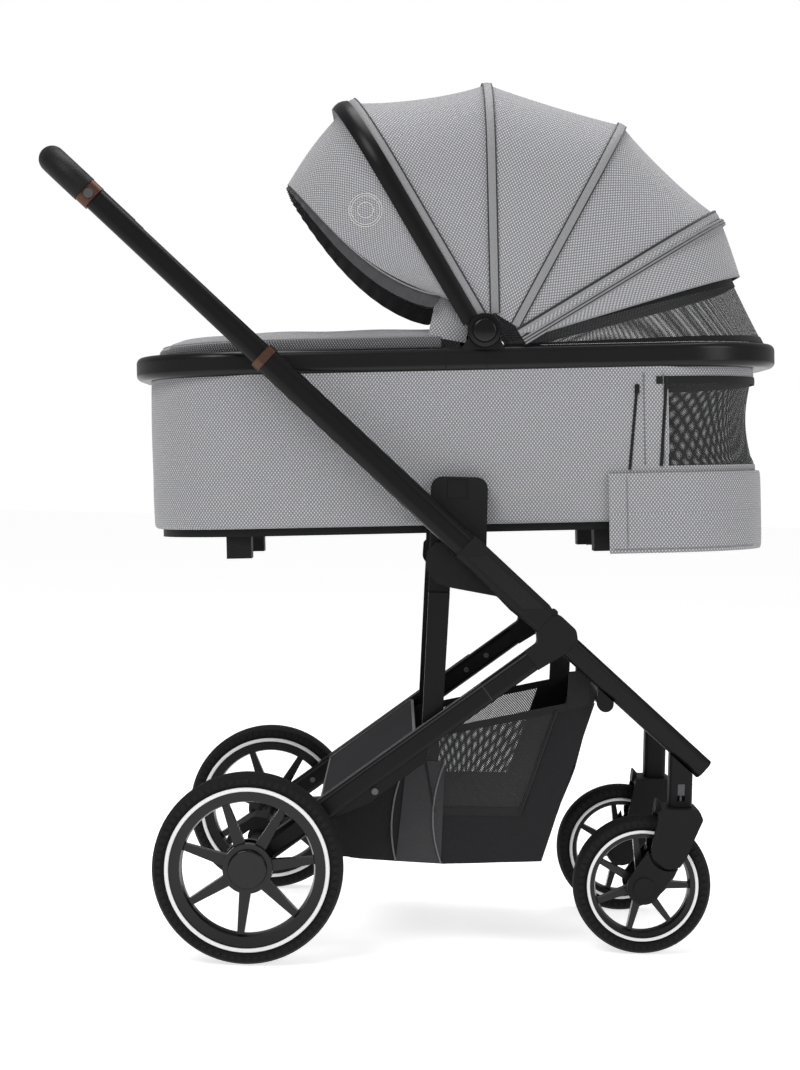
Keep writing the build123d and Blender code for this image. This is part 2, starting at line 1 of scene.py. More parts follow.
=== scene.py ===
import json
from math import asin, atan2, copysign, cos, degrees, hypot, pi, radians, sin

import bpy
from mathutils import Matrix, Vector
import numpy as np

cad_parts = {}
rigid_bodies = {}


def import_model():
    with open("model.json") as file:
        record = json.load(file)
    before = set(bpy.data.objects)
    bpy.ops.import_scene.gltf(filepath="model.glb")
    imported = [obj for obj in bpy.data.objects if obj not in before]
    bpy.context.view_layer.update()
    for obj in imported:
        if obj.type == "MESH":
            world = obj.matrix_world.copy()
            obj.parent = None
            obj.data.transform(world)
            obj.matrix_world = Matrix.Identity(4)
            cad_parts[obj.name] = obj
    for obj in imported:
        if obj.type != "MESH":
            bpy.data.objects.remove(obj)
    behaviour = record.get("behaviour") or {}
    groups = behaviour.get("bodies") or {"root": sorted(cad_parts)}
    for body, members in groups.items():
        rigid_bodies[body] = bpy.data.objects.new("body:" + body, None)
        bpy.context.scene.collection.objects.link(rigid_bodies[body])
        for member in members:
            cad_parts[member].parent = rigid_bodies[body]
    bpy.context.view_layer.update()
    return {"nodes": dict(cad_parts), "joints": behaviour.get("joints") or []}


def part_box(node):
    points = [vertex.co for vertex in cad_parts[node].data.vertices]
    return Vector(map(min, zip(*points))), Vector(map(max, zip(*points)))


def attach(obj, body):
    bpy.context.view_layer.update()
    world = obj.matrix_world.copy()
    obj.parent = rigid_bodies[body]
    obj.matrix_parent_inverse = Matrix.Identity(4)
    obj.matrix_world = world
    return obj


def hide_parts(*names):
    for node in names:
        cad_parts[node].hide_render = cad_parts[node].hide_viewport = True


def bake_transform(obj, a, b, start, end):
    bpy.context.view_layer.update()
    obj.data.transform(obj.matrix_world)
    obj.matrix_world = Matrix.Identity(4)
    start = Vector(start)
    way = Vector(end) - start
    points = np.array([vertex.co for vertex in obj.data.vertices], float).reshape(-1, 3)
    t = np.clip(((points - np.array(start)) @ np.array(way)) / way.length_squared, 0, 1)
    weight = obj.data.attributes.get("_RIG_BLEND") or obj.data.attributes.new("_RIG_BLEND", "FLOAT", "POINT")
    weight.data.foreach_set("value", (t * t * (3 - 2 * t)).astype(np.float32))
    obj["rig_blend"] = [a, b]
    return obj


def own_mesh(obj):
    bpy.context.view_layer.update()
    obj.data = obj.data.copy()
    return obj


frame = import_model()
nodes = frame["nodes"]
joints = {j["name"]: j for j in frame["joints"]}
bpy.ops.object.select_all(action="DESELECT")


# ---------------------------------------------------------------- studio
# A pale floor under soft lights, and a camera at the height of the carrycot, square to the side.

bpy.ops.mesh.primitive_plane_add(size=60, location=(0, 0, -0.0005))
floor = bpy.context.object
floor.name = "studio_floor"
paper = bpy.data.materials.new("studio_paper")
paper.use_nodes = True
skin = paper.node_tree.nodes["Principled BSDF"]
skin.inputs["Base Color"].default_value = (0.75, 0.75, 0.75, 1)
skin.inputs["Roughness"].default_value = 0.9
skin.inputs["Specular IOR Level"].default_value = 0.1
skin.inputs["Emission Color"].default_value = (1, 1, 1, 1)
skin.inputs["Emission Strength"].default_value = 0.72
floor.data.materials.append(paper)

world = bpy.data.worlds.new("studio_air")
world.use_nodes = True
air = world.node_tree.nodes["Background"]
air.inputs["Color"].default_value = (1, 1, 1, 1)
seen = world.node_tree.nodes.new("ShaderNodeLightPath")
amount = world.node_tree.nodes.new("ShaderNodeMapRange")
amount.inputs["To Min"].default_value = 0.34
amount.inputs["To Max"].default_value = 1.0
world.node_tree.links.new(seen.outputs["Is Camera Ray"], amount.inputs["Value"])
world.node_tree.links.new(amount.outputs["Result"], air.inputs["Strength"])
bpy.context.scene.world = world

for label, place, aim, size, power in (
    ("key_light", (-1.6, -2.6, 3.2), (0, 0, 0.7), 2.0, 80),
    ("fill_light", (2.6, -2.2, 1.8), (0.2, 0, 0.5), 1.8, 28),
    ("top_light", (0.2, 0.4, 3.6), (0, 0, 0.6), 2.6, 80),
):
    lamp = bpy.data.lights.new(label, "AREA")
    lamp.shape = "DISK"
    lamp.size = size
    lamp.energy = power
    holder = bpy.data.objects.new(label, lamp)
    bpy.context.scene.collection.objects.link(holder)
    holder.location = place
    holder.rotation_euler = (Vector(aim) - Vector(place)).to_track_quat("-Z", "Y").to_euler()

eye = bpy.data.cameras.new("side_camera")
eye.sensor_width = 36.0
eye.lens = 75.46
eye.clip_end = 100
camera = bpy.data.objects.new("side_camera", eye)
bpy.context.scene.collection.objects.link(camera)
camera.rotation_mode = "QUATERNION"
camera.location = (-0.0187, -3.24, 0.652)
yaw, pitch, roll = (radians(a) for a in (0.11, 1.54, 1.30))
turned = Matrix.Rotation(-yaw, 3, "Z") @ Matrix.Rotation(pi / 2 - pitch, 3, "X")
camera.rotation_quaternion = (turned @ Matrix.Rotation(roll, 3, "Z")).to_quaternion()
bpy.context.scene.camera = camera
bpy.context.scene.view_settings.view_transform = "Standard"


# ---------------------------------------------------------------- chassis tubes and castings
# Oval aluminium tubes with a satin black powder coat, joined by moulded nylon castings with a
# finer, duller grain. Every one of them is bolted or swaged to the next.

SIDES = ((-1, "R"), (1, "L"))


def shader(name, **sockets):
    """A material, its node tree and its main shader with these sockets filled."""
    made = bpy.data.materials.new(name)
    made.use_nodes = True
    skin = made.node_tree.nodes["Principled BSDF"]
    for key, value in sockets.items():
        skin.inputs[key.replace("_", " ")].default_value = value
    return made, made.node_tree, skin


def wire(tree, source, output, target, into):
    tree.links.new(source.outputs[output], target.inputs[into])


def node(tree, kind, **settings):
    """A shader node with its settings; a setting named after a socket fills the socket."""
    made = tree.nodes.new(kind)
    for key, value in settings.items():
        if hasattr(made, key):
            setattr(made, key, value)
        else:
            made.inputs[key.replace("_", " ")].default_value = value
    return made


def ramp(tree, stops):
    """A colour ramp from (place, colour) stops."""
    made = tree.nodes.new("ShaderNodeValToRGB")
    bar = made.color_ramp
    bar.elements[0].position, bar.elements[0].color = stops[0][0], (*stops[0][1], 1)
    bar.elements[1].position, bar.elements[1].color = stops[-1][0], (*stops[-1][1], 1)
    for place, colour in stops[1:-1]:
        bar.elements.new(place).color = (*colour, 1)
    return made


def coated(name, dark, light, rough, grain, depth, metallic=0.0, coat=0.0, shine=0.12):
    """A hard finish: two close colours mixed by a fine grain that also dents the surface."""
    made, tree, skin = shader(name, Metallic=metallic, Coat_Weight=coat, Coat_Roughness=0.25,
                              Specular_IOR_Level=shine)
    spot = node(tree, "ShaderNodeTexCoord")
    fine = node(tree, "ShaderNodeTexNoise", Scale=grain, Detail=3.0, Roughness=0.6)
    broad = node(tree, "ShaderNodeTexNoise", Scale=9.0, Detail=2.0)
    wire(tree, spot, "Object", fine, "Vector")
    wire(tree, spot, "Object", broad, "Vector")
    tone = ramp(tree, [(0.3, dark), (0.75, light)])
    wire(tree, fine, "Fac", tone, "Fac")
    wire(tree, tone, "Color", skin, "Base Color")
    sheen = node(tree, "ShaderNodeMapRange", To_Min=rough - 0.06, To_Max=rough + 0.08)
    wire(tree, broad, "Fac", sheen, "Value")
    wire(tree, sheen, "Result", skin, "Roughness")
    dent = node(tree, "ShaderNodeBump", Strength=depth, Distance=0.0002)
    wire(tree, fine, "Fac", dent, "Height")
    wire(tree, dent, "Normal", skin, "Normal")
    return made


powder_coat = coated("powder_coat_black", (0.003, 0.003, 0.0033), (0.0065, 0.0065, 0.007), 0.34, 1400, 0.25, coat=0.04)
nylon = coated("moulded_nylon", (0.005, 0.005, 0.0055), (0.012, 0.012, 0.013), 0.52, 1900, 0.5)
gloss = coated("gloss_moulding", (0.002, 0.002, 0.0022), (0.004, 0.004, 0.0045), 0.16, 600, 0.05, coat=0.15, shine=0.22)
bronze = coated("bronze_plate", (0.06, 0.032, 0.022), (0.11, 0.062, 0.044), 0.4, 700, 0.15, metallic=0.9)
steel = coated("blackened_steel", (0.07, 0.07, 0.075), (0.14, 0.14, 0.15), 0.4, 900, 0.2, metallic=0.85)
grey_metal = coated("grey_rivet_metal", (0.06, 0.06, 0.064), (0.12, 0.12, 0.125), 0.42, 900, 0.2, metallic=0.8)


def paint(piece, *materials):
    """Replaces a piece's finishes."""
    piece.data.materials.clear()
    for material in materials:
        piece.data.materials.append(material)


def dress(material, *names):
    """Gives CAD nodes their finish."""
    for name in names:
        paint(nodes[name], material)


dress(powder_coat, "rear_legs", "posts", "rear_axle", "outer_tubes", "inner_tubes", "front_legs", "front_cross")
dress(nylon, "elbows", "seat_brackets", "adapters", "fold_housings", "swivel_housings", "caster_L", "caster_R",
      "fork_arm_L", "fork_arm_R", "brake_pedal", "cot_base", "cot_lugs", "hood_hubs")
dress(gloss, "inlays", "adapter_button_L", "adapter_button_R", "rear_cap_L", "rear_cap_R", "height_button")
dress(bronze, "collars", "tube_rings")
dress(grey_metal, "rivets", "swivel_lock_L", "swivel_lock_R")
dress(steel, "frame_screws", "brake_pin_L", "brake_pin_R")


# ---------------------------------------------------------------- hood cloth
# The hood is one canopy of light grey melange cloth with a small honeycomb weave, cut in gores
# and stretched straight from bow to bow, so that it only dips a little between them.

REAR_AXLE = joints["rear_spin_R"]["pos_m"][0]
HUB = Vector(joints["hood_bow_3"]["pos_m"])
WAVES_PER_PITCH = 0.314159  # the wave texture's own scale for one thread to a pitch


def weave(name, dark, light, pitch, relief, rough=0.85, twill=False, sheen=0.35):
    """Cloth on the piece's own map, in metres: honeycomb or twill cells, and uneven yarn."""
    made, tree, skin = shader(name, Roughness=rough, Sheen_Weight=sheen, Sheen_Roughness=0.5,
                              Specular_IOR_Level=0.2)
    chart = node(tree, "ShaderNodeUVMap")
    cells = []
    for turn in ((0.9,) if twill else (0.66, -0.66)):
        tilt = node(tree, "ShaderNodeMapping", Rotation=(0, 0, turn))
        rib = node(tree, "ShaderNodeTexWave", Scale=WAVES_PER_PITCH / pitch, Distortion=0.0)
        wire(tree, chart, "UV", tilt, "Vector")
        wire(tree, tilt, "Vector", rib, "Vector")
        cells.append(rib)
    height, socket = cells[0], "Fac"
    if not twill:
        height, socket = node(tree, "ShaderNodeMath", operation="MULTIPLY"), "Value"
        for slot, rib in enumerate(cells):
            wire(tree, rib, "Fac", height, slot)
    yarn = node(tree, "ShaderNodeTexNoise", Scale=520.0, Detail=3.0, Roughness=0.7)
    wire(tree, chart, "UV", yarn, "Vector")
    middle = tuple((a + b) / 2 for a, b in zip(dark, light))
    tone = ramp(tree, [(0.0, dark), (0.45, middle), (0.9, light)])
    wire(tree, height, socket, tone, "Fac")
    fleck = ramp(tree, [(0.3, (0.62, 0.62, 0.63)), (0.62, (1.0, 1.0, 1.0))])
    wire(tree, yarn, "Fac", fleck, "Fac")
    mixed = node(tree, "ShaderNodeMix", data_type="RGBA", blend_type="MULTIPLY", Factor=0.75)
    wire(tree, tone, "Color", mixed, "A")
    wire(tree, fleck, "Color", mixed, "B")
    wire(tree, mixed, "Result", skin, "Base Color")
    dent = node(tree, "ShaderNodeBump", Strength=1.0, Distance=relief)
    wire(tree, height, socket, dent, "Height")
    fuzz = node(tree, "ShaderNodeBump", Strength=0.18, Distance=0.0002)
    wire(tree, yarn, "Fac", fuzz, "Height")
    wire(tree, dent, "Normal", fuzz, "Normal")
    wire(tree, fuzz, "Normal", skin, "Normal")
    return made


melange = weave("melange_honeycomb", (0.17, 0.17, 0.18), (0.56, 0.56, 0.585), 0.0036, 0.0004, sheen=0.2)
satin_tape = weave("satin_binding", (0.17, 0.17, 0.175), (0.27, 0.27, 0.28), 0.0012, 0.0001, rough=0.5,
                   twill=True, sheen=0.2)
dark_piping = weave("dark_piping", (0.008, 0.008, 0.009), (0.025, 0.025, 0.027), 0.0012, 0.0001, twill=True)
lining = weave("pleated_lining", (0.03, 0.03, 0.032), (0.085, 0.085, 0.09), 0.0018, 0.0002, twill=True, sheen=0.08)


def mend(merge=0.0, cap=False, flip=False, bevel=0.0):
    """Edits the active mesh: merges doubles, caps open ends, turns faces outward or over."""
    bpy.ops.object.mode_set(mode="EDIT")
    bpy.ops.mesh.select_all(action="SELECT")
    if merge:
        bpy.ops.mesh.remove_doubles(threshold=merge)
    if cap:
        bpy.ops.mesh.select_all(action="DESELECT")
        bpy.ops.mesh.select_non_manifold()
        bpy.ops.mesh.edge_face_add()
        bpy.ops.mesh.select_all(action="SELECT")
    if flip:
        bpy.ops.mesh.flip_normals()
    else:
        bpy.ops.mesh.normals_make_consistent(inside=False)
    if bevel:
        bpy.ops.mesh.bevel(offset=bevel, segments=3)
    bpy.ops.object.mode_set(mode="OBJECT")


def thicken(piece, thick):
    """Makes a sheet solid towards its inner side."""
    wall = piece.modifiers.new("wall", "SOLIDIFY")
    wall.thickness = thick
    wall.offset = -1.0
    bpy.ops.object.modifier_apply(modifier=wall.name)


def smooth(angle):
    """Shades the selected pieces smooth, but for edges sharper than an angle in degrees."""
    bpy.ops.object.shade_smooth_by_angle(angle=radians(angle))


def sheet_grid(name, across, along, place, chart, material, thick=0.0012, flip=False):
    """A grid whose points go where place(s, t) says, with a map in metres, made solid inwards."""
    bpy.ops.mesh.primitive_grid_add(x_subdivisions=across, y_subdivisions=along, size=1.0)
    piece = bpy.context.object
    piece.name = name
    mesh = piece.data
    spots = [(v.co.x + 0.5, v.co.y + 0.5) for v in mesh.vertices]
    marks = [chart(s, t) for s, t in spots]
    layer = mesh.uv_layers.active.data
    for corner in mesh.loops:
        layer[corner.index].uv = marks[corner.vertex_index]
    share = mesh.attributes.new("across", "FLOAT", "POINT")
    for v, (s, t) in zip(mesh.vertices, spots):
        v.co = place(s, t)
        share.data[v.index].value = s
    mesh.update()
    piece["cut_area"] = sum(face.area for face in mesh.polygons)
    piece["cut_width"] = max(m[0] for m in marks) - min(m[0] for m in marks)
    piece["cut_length"] = max(m[1] for m in marks) - min(m[1] for m in marks)
    if flip:
        mend(flip=True)
    if thick:
        thicken(piece, thick)
    smooth(50)
    paint(piece, material)
    piece.location = (0, 0, 0)
    return piece


def cloth(piece, body=None, stands_for=None):
    """Hides the part a sheet replaces and attaches the sheet to the body it rides; the size it was cut to is worked out
    but not kept.
    """
    if stands_for:
        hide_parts(stands_for)
    width, length, area = piece["cut_width"], piece["cut_length"], piece["cut_area"]
    if area < 0.35 * width * length:
        width, length = min(width, length), area / min(width, length)
    min(area, width * length)
    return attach(piece, body) if body else piece


def polar(radius, angle):
    """A side-view point about the hub, in millimetres and degrees."""
    a = radians(angle)
    return Vector((HUB.x + radius / 1000 * cos(a), 0, HUB.z + radius / 1000 * sin(a)))


class Arch:
    """One bow's line: up from a foot beside the hub, round a corner and over to the other side."""

    def __init__(self, foot, top, half, corner=0.125):
        self.foot, self.top, self.half, self.corner = foot, top, half, corner
        self.rise = (top - foot).length
        self.up = (top - foot).normalized()
        self.leg = self.rise - corner
        self.bend = corner * pi / 2
        self.flat = 2 * (half - corner)
        self.length = 2 * self.leg + 2 * self.bend + self.flat

    def flat_point(self, t):
        """Sideways place, height along the bow, and the outward direction of the line."""
        d = t * self.length
        mirror = 1 if d <= self.length / 2 else -1
        d = min(d, self.length - d)
        if d < self.leg:
            return -self.half * mirror, d, (-mirror, 0.0)
        if d < self.leg + self.bend:
            a = (d - self.leg) / self.corner
            y = -(self.half - self.corner) - self.corner * cos(a)
            return y * mirror, self.leg + self.corner * sin(a), (-cos(a) * mirror, sin(a))
        y = -(self.half - self.corner) + (d - self.leg - self.bend)
        return y * mirror, self.rise, (0.0, 1.0)

    def at(self, t, out=0.0, side=0.0):
        """A point on the line, moved outward, and sideways towards the foot end of the cot."""
        y, h, (oy, oh) = self.flat_point(t)
        spot = self.foot + self.up * (h + oh * out) + Vector((0, y + oy * out, 0))
        return spot + Vector((-self.up.z, 0, self.up.x)) * side


bow_lines = {
    1: Arch(polar(20, 108), polar(374, 120.9), 0.190),
    2: Arch(polar(28, 60), polar(352, 90.2), 0.186),
    3: Arch(polar(43, 11), polar(354.5, 57.5), 0.184),
    4: Arch(polar(48, -2.7), polar(371, 28.3), 0.184),
}


def gore(name, near, far, sag, steps=20, out=0.0):
    """Cloth stretched from one arch to the next, with a little sag towards the inside."""

    def place(s, t):
        a, b = near.at(t, out), far.at(t, out)
        _, h, (oy, oh) = near.flat_point(t)
        inward = -(near.up * oh + Vector((0, oy, 0)))
        leg = min(1.0, h / 0.2)
        return a.lerp(b, s) + inward * sag * leg * (4 * s * (1 - s)) ** 0.8

    def chart(s, t):
        gap = (near.at(t) - far.at(t)).length
        return (s - 0.5) * gap, t * near.length

    return sheet_grid(name, steps, 96, place, chart, melange, flip=True)


def folding(piece, low_body, high_body, near, far):
    """Lets a gore fold: each point turns by its share of the way from one bow to the next."""
    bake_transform(piece, low_body, high_body, start=tuple(far.at(0.5)), end=tuple(near.at(0.5)))
    share = piece.data.attributes["across"].data
    turn = piece.data.attributes["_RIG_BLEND"].data
    for k in range(len(turn)):
        turn[k].value = 1.0 - share[k].value
    return piece


for number, place, sag, low_body, high_body, far_bow in (
    (1, "front", 0.009, "hood_2", "hood_1", "bow_2"),
    (2, "middle", 0.003, "hood_3", "hood_2", "bow_3"),
    (3, "rear", 0.006, "carrycot", "hood_3", "bow_rear"),
):
    near, far = bow_lines[number], bow_lines[number + 1]
    panel = folding(gore(f"hood_gore_{place}", near, far, sag), low_body, high_body, near, far)
    cloth(panel, stands_for=f"panel_{number}")


# ---------------------------------------------------------------- hood bows and bindings
# Spring-steel bows run in cloth channels, bound on the outside with a satin tape between two
# rows of dark piping; the front bow is a bare black moulding.

def ribbon(name, line, width, lift, offset, material, crown=0.0008, thick=0.0022):
    """A tape laid along an arch."""

    def place(s, t):
        return line.at(t, lift + crown * 4 * s * (1 - s), (s - 0.5) * width + offset)

    return sheet_grid(name, 4, 96, place, lambda s, t: (s * width, t * line.length), material, thick, flip=True)


def piping(name, line, lift, offset, radius, material):
    """A thin round cord sewn along an arch."""
    return tube(name, [line.at(k / 96, lift, offset) for k in range(97)], radius, material)


def tube(name, points, radius, material, closed=False, sides=8):
    """A round tube that follows points."""
    curve = bpy.data.curves.new(name, "CURVE")
    curve.dimensions = "3D"
    curve.bevel_depth = radius
    curve.bevel_resolution = max(1, sides // 4)
    curve.use_fill_caps = not closed
    run = curve.splines.new("POLY")
    run.points.add(len(points) - 1)
    for spot, point in zip(run.points, points):
        spot.co = (*point, 1)
    run.use_cyclic_u = closed
    holder = bpy.data.objects.new(name, curve)
    bpy.context.scene.collection.objects.link(holder)
    bpy.ops.object.select_all(action="DESELECT")
    holder.select_set(True)
    bpy.context.view_layer.objects.active = holder
    bpy.ops.object.convert(target="MESH")
    smooth(60)
    piece = bpy.context.object
    paint(piece, material)
    return piece


bow_cover = ribbon("bow_front_moulding", bow_lines[1], 0.024, 0.006, 0.014, powder_coat, crown=0.0035, thick=0.011)
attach(bow_cover, "hood_1")
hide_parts("bow_1")
front_tape = ribbon("bow_front_tape", bow_lines[1], 0.0102, 0.0035, -0.0025, satin_tape)
front_edge = piping("bow_front_piping", bow_lines[1], 0.003, -0.0085, 0.0013, dark_piping)
for trim in (front_tape, front_edge):
    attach(trim, "hood_1")
for number, body, replaced in ((2, "hood_2", "bow_2"), (3, "hood_3", "bow_3"), (4, "carrycot", "bow_rear")):
    line = bow_lines[number]
    tape = ribbon(f"bow_{number}_tape", line, 0.0102, 0.0028, 0.0, satin_tape)
    cloth(tape, body, replaced)
    for side in (-1, 1):
        radius = 0.0020 if number == 4 and side > 0 else 0.0012
        way = "fore" if side > 0 else "aft"
        edge = piping(f"bow_{number}_piping_{way}", line, 0.002, side * 0.0060, radius, dark_piping)
        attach(edge, body)
cloth(front_tape)


# ---------------------------------------------------------------- hood hubs
# Each bow set turns on a round gloss boss with a recessed ring; it stands on a moulded block
# that plugs into the rim.


def lathe(name, profile, centre, side, material, rounds=64):
    """A turned piece on a sideways axis from (radius, outward) points."""
    bpy.ops.mesh.primitive_circle_add(vertices=3, radius=0.001)
    piece = bpy.context.object
    piece.name = name
    spots = [(centre.x + r * cos(2 * pi * k / rounds), side * y, centre.z + r * sin(2 * pi * k / rounds))
             for r, y in profile for k in range(rounds)]
    rings = len(profile)
    faces = [(a * rounds + k, a * rounds + (k + 1) % rounds, (a + 1) * rounds + (k + 1) % rounds, (a + 1) * rounds + k)
             for a in range(rings - 1) for k in range(rounds)]
    faces += [tuple(range(rounds)), tuple((rings - 1) * rounds + k for k in range(rounds))]
    piece.data.clear_geometry()
    piece.data.from_pydata(spots, [], faces)
    mend()
    smooth(40)
    paint(piece, material)
    return piece


for side, tag in SIDES:
    boss = lathe(f"hood_boss_{tag}", [(0.0215, 0.1930), (0.0232, 0.1938), (0.0232, 0.2040), (0.0222, 0.2054),
                                      (0.0175, 0.2060),
                 (0.0168, 0.2050), (0.0155, 0.2050), (0.0148, 0.2060), (0.0135, 0.2064), (0.002, 0.2068)], HUB,
                 side, gloss)
    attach(boss, "hood_1")
    bpy.ops.mesh.primitive_cube_add(size=1)
    foot = bpy.context.object
    foot.name = f"hood_hub_foot_{tag}"
    for v in foot.data.vertices:
        wide, drop = (0.0315, 0.0265) if v.co.z < 0 else (0.0185, 0.006)
        deep = side * (0.1845 + 0.0068 * copysign(1, v.co.y))
        v.co = Vector((HUB.x + copysign(wide, v.co.x), deep, HUB.z - drop))
    mend(bevel=0.0018)
    smooth(40)
    paint(foot, nylon)
    foot.location = (0, 0, 0)
    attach(foot, "carrycot")


# ---------------------------------------------------------------- visor
# The front of the hood: a shaped flap sewn to the front bow, with a pleated lining that hangs
# a little below its edge and a plain ringed badge pressed on one side.

edge_line = Arch(polar(75, 140), polar(346, 143.2), 0.186)
droop = lambda h: sin(pi * min(1.0, h / edge_line.rise) ** 0.75)


def visor_edge(t, further=0.0, inset=0.0):
    """The visor's curved front edge, and the lining's edge a little further round."""
    h = edge_line.flat_point(t)[1]
    return edge_line.at(t, -inset, 0.026 * droop(h) + further)


def visor_place(s, t):
    a, b = bow_lines[1].at(t, -0.001, 0.004), visor_edge(t)
    start = max(0.0, 1 - abs(2 * t - 1) ** 8 * 0.2)
    _, _, (oy, oh) = edge_line.flat_point(t)
    out = edge_line.up * oh + Vector((0, oy, 0))
    return a.lerp(b, s * start) + out * 0.005 * sin(pi * s)


visor = sheet_grid("hood_visor", 20, 96, visor_place, lambda s, t: (s * 0.13, t * 0.96), melange, 0.0022, flip=True)
cloth(visor, "hood_1", "visor")


def lining_place(s, t):
    h = edge_line.flat_point(t)[1]
    reach = 0.004 + 0.017 * max(0.0, 1 - h / 0.3) ** 0.8
    pleat = 0.0018 * sin(t * edge_line.length / 0.0038) * s
    return visor_edge(t, reach * s - 0.006 * (1 - s), 0.003 + pleat)


visor_lining = sheet_grid("hood_visor_lining", 6, 640, lining_place, lambda s, t: (s * 0.03, t * 0.96), lining,
                          0.001, flip=True)
cloth(visor_lining, "hood_1")
visor_hem = tube("hood_visor_hem", [visor_edge(k / 96, 0.0005, 0.001) for k in range(97)], 0.0012, satin_tape)
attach(visor_hem, "hood_1")


# ---------------------------------------------------------------- hood back
# Behind the last bow a cloth flap, zipped along its top, covers an airing net that is bound in
# black tape and sewn down to the rim.

COT_TILT = radians(2.5)
PIVOT_X, PIVOT_Z = 0.271, 0.6
HOOD_BACK_X = 0.337  # where the hood's back meets the rim, on the level carrycot


def cot(x, y, z):
    """A place on the level carrycot, in metres from the rear axle, put where the tilted one is."""
    dx, dz = x - PIVOT_X, z - PIVOT_Z
    along = PIVOT_X + dx * cos(COT_TILT) - dz * sin(COT_TILT)
    return Vector((REAR_AXLE + along, y, PIVOT_Z + dx * sin(COT_TILT) + dz * cos(COT_TILT)))


class Plan:
    """A rounded oblong in plan, followed from the near side's rear corner towards the foot end."""

    def __init__(self, x0, x1, half, corner):
        self.x0, self.x1, self.half, self.corner = x0, x1, half, corner
        self.side = x1 - x0 - 2 * corner
        self.end = 2 * (half - corner)
        self.bend = corner * pi / 2
        self.length = 2 * self.side + 2 * self.end + 4 * self.bend

    def at(self, d, out=0.0):
        """The point at a distance along the outline, moved outward."""
        x0, x1, w, c = self.x0, self.x1, self.half, self.corner
        d %= self.length
        for kind, size, data in (
            ("run", self.side, (x1 - c, -w, -1, 0, 0, -1)), ("turn", self.bend, (x0 + c, -w + c, -90)),
            ("run", self.end, (x0, -w + c, 0, 1, -1, 0)), ("turn", self.bend, (x0 + c, w - c, -180)),
            ("run", self.side, (x0 + c, w, 1, 0, 0, 1)), ("turn", self.bend, (x1 - c, w - c, 90)),
            ("run", self.end, (x1, w - c, 0, -1, 1, 0)), ("turn", self.bend, (x1 - c, -w + c, 0)),
        ):
            if d <= size:
                break
            d -= size
        if kind == "run":
            px, py, dx, dy, nx, ny = data
            return px + dx * d + nx * out, py + dy * d + ny * out
        a = radians(data[2] - 90 * d / size)
        return data[0] + (c + out) * cos(a), data[1] + (c + out) * sin(a)


rim_line = Plan(-0.163, 0.711, 0.178, 0.137)
flap_line = Arch(polar(85, 0.9), polar(370, 14.2), 0.187)
net_line = Arch(polar(66, -2.0), polar(361, 13.9), 0.183)


def rim_point(t, lift=0.0):
    """The rear sweep of the rim, from beside the near hub round to the far one."""
    start = rim_line.side - (HOOD_BACK_X - (rim_line.x0 + rim_line.corner))
    back = rim_line.end + 2 * rim_line.bend
    d = start - t * (2 * start + back)
    x, y = rim_line.at(d)
    return cot(x, y, 0.829 + lift)


hood_flap = gore("hood_rear_flap", bow_lines[4], flap_line, -0.001, steps=12, out=0.0025)
cloth(hood_flap, "carrycot")
flap_hem = piping("hood_flap_hem", flap_line, 0.003, 0.0, 0.0012, satin_tape)
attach(flap_hem, "carrycot")
zip_tape = ribbon("hood_zip_tape", bow_lines[4], 0.0102, 0.0060, -0.0125, satin_tape, crown=0.0004, thick=0.0014)
for offset in (-0.0105, -0.0145):
    zip_row = piping(f"hood_zip_row_{abs(round(offset * 10000))}", bow_lines[4], 0.0064, offset, 0.0008, dark_piping)
    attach(zip_row, "carrycot")
cloth(zip_tape, "carrycot")


def net(name, yarn_colour, pitch, thread):
    """Open net: threads in both directions with clear holes between them."""
    made, tree, skin = shader(name, Roughness=0.8, Base_Color=(*yarn_colour, 1))
    chart = node(tree, "ShaderNodeUVMap")
    both = node(tree, "ShaderNodeMath", operation="MAXIMUM")
    for slot, turn in enumerate((0.0, pi / 2)):
        tilt = node(tree, "ShaderNodeMapping", Rotation=(0, 0, turn + 0.785))
        rib = node(tree, "ShaderNodeTexWave", Scale=WAVES_PER_PITCH / pitch)
        wire(tree, chart, "UV", tilt, "Vector")
        wire(tree, tilt, "Vector", rib, "Vector")
        wire(tree, rib, "Fac", both, slot)
    cut = ramp(tree, [(1 - thread - 0.08, (0, 0, 0)), (1 - thread + 0.08, (1, 1, 1))])
    wire(tree, both, "Value", cut, "Fac")
    wire(tree, cut, "Color", skin, "Alpha")
    return made


black_twill = weave("black_twill", (0.004, 0.004, 0.0045), (0.014, 0.014, 0.015), 0.0022, 0.0002, twill=True,
                    sheen=0.08)
airing_net = net("airing_net", (0.02, 0.02, 0.021), 0.0017, 0.42)


def back_place(s, t):
    a, b = net_line.at(t), rim_point(t)
    return a.lerp(b, s)


back_net = sheet_grid("hood_back_net", 14, 96, back_place, lambda s, t: (s * 0.09, t * net_line.length),
                      airing_net, 0.0, flip=True)
cloth(back_net, "carrycot", "hood_rear")


def back_band(name, low, high):
    """Black binding on the net between two shares of its depth."""
    piece = sheet_grid(name, 4, 96, lambda s, t: back_place(low + (high - low) * s, t),
                       lambda s, t: (s * 0.012, t * net_line.length), black_twill, 0.0016, flip=True)
    cloth(piece, "carrycot")


back_band("hood_net_top_binding", -0.02, 0.11)
back_band("hood_net_rim_binding", 0.9, 1.0)


# ---------------------------------------------------------------- carrycot tub
# A padded cloth tub of the same melange honeycomb, pulled tight round a stiff wall and turned
# under at a small-radius bottom edge, with seams where the airing window is let in.

WINDOW_X, WINDOW_LOW, WINDOW_HIGH = 0.556, 0.660, 0.781


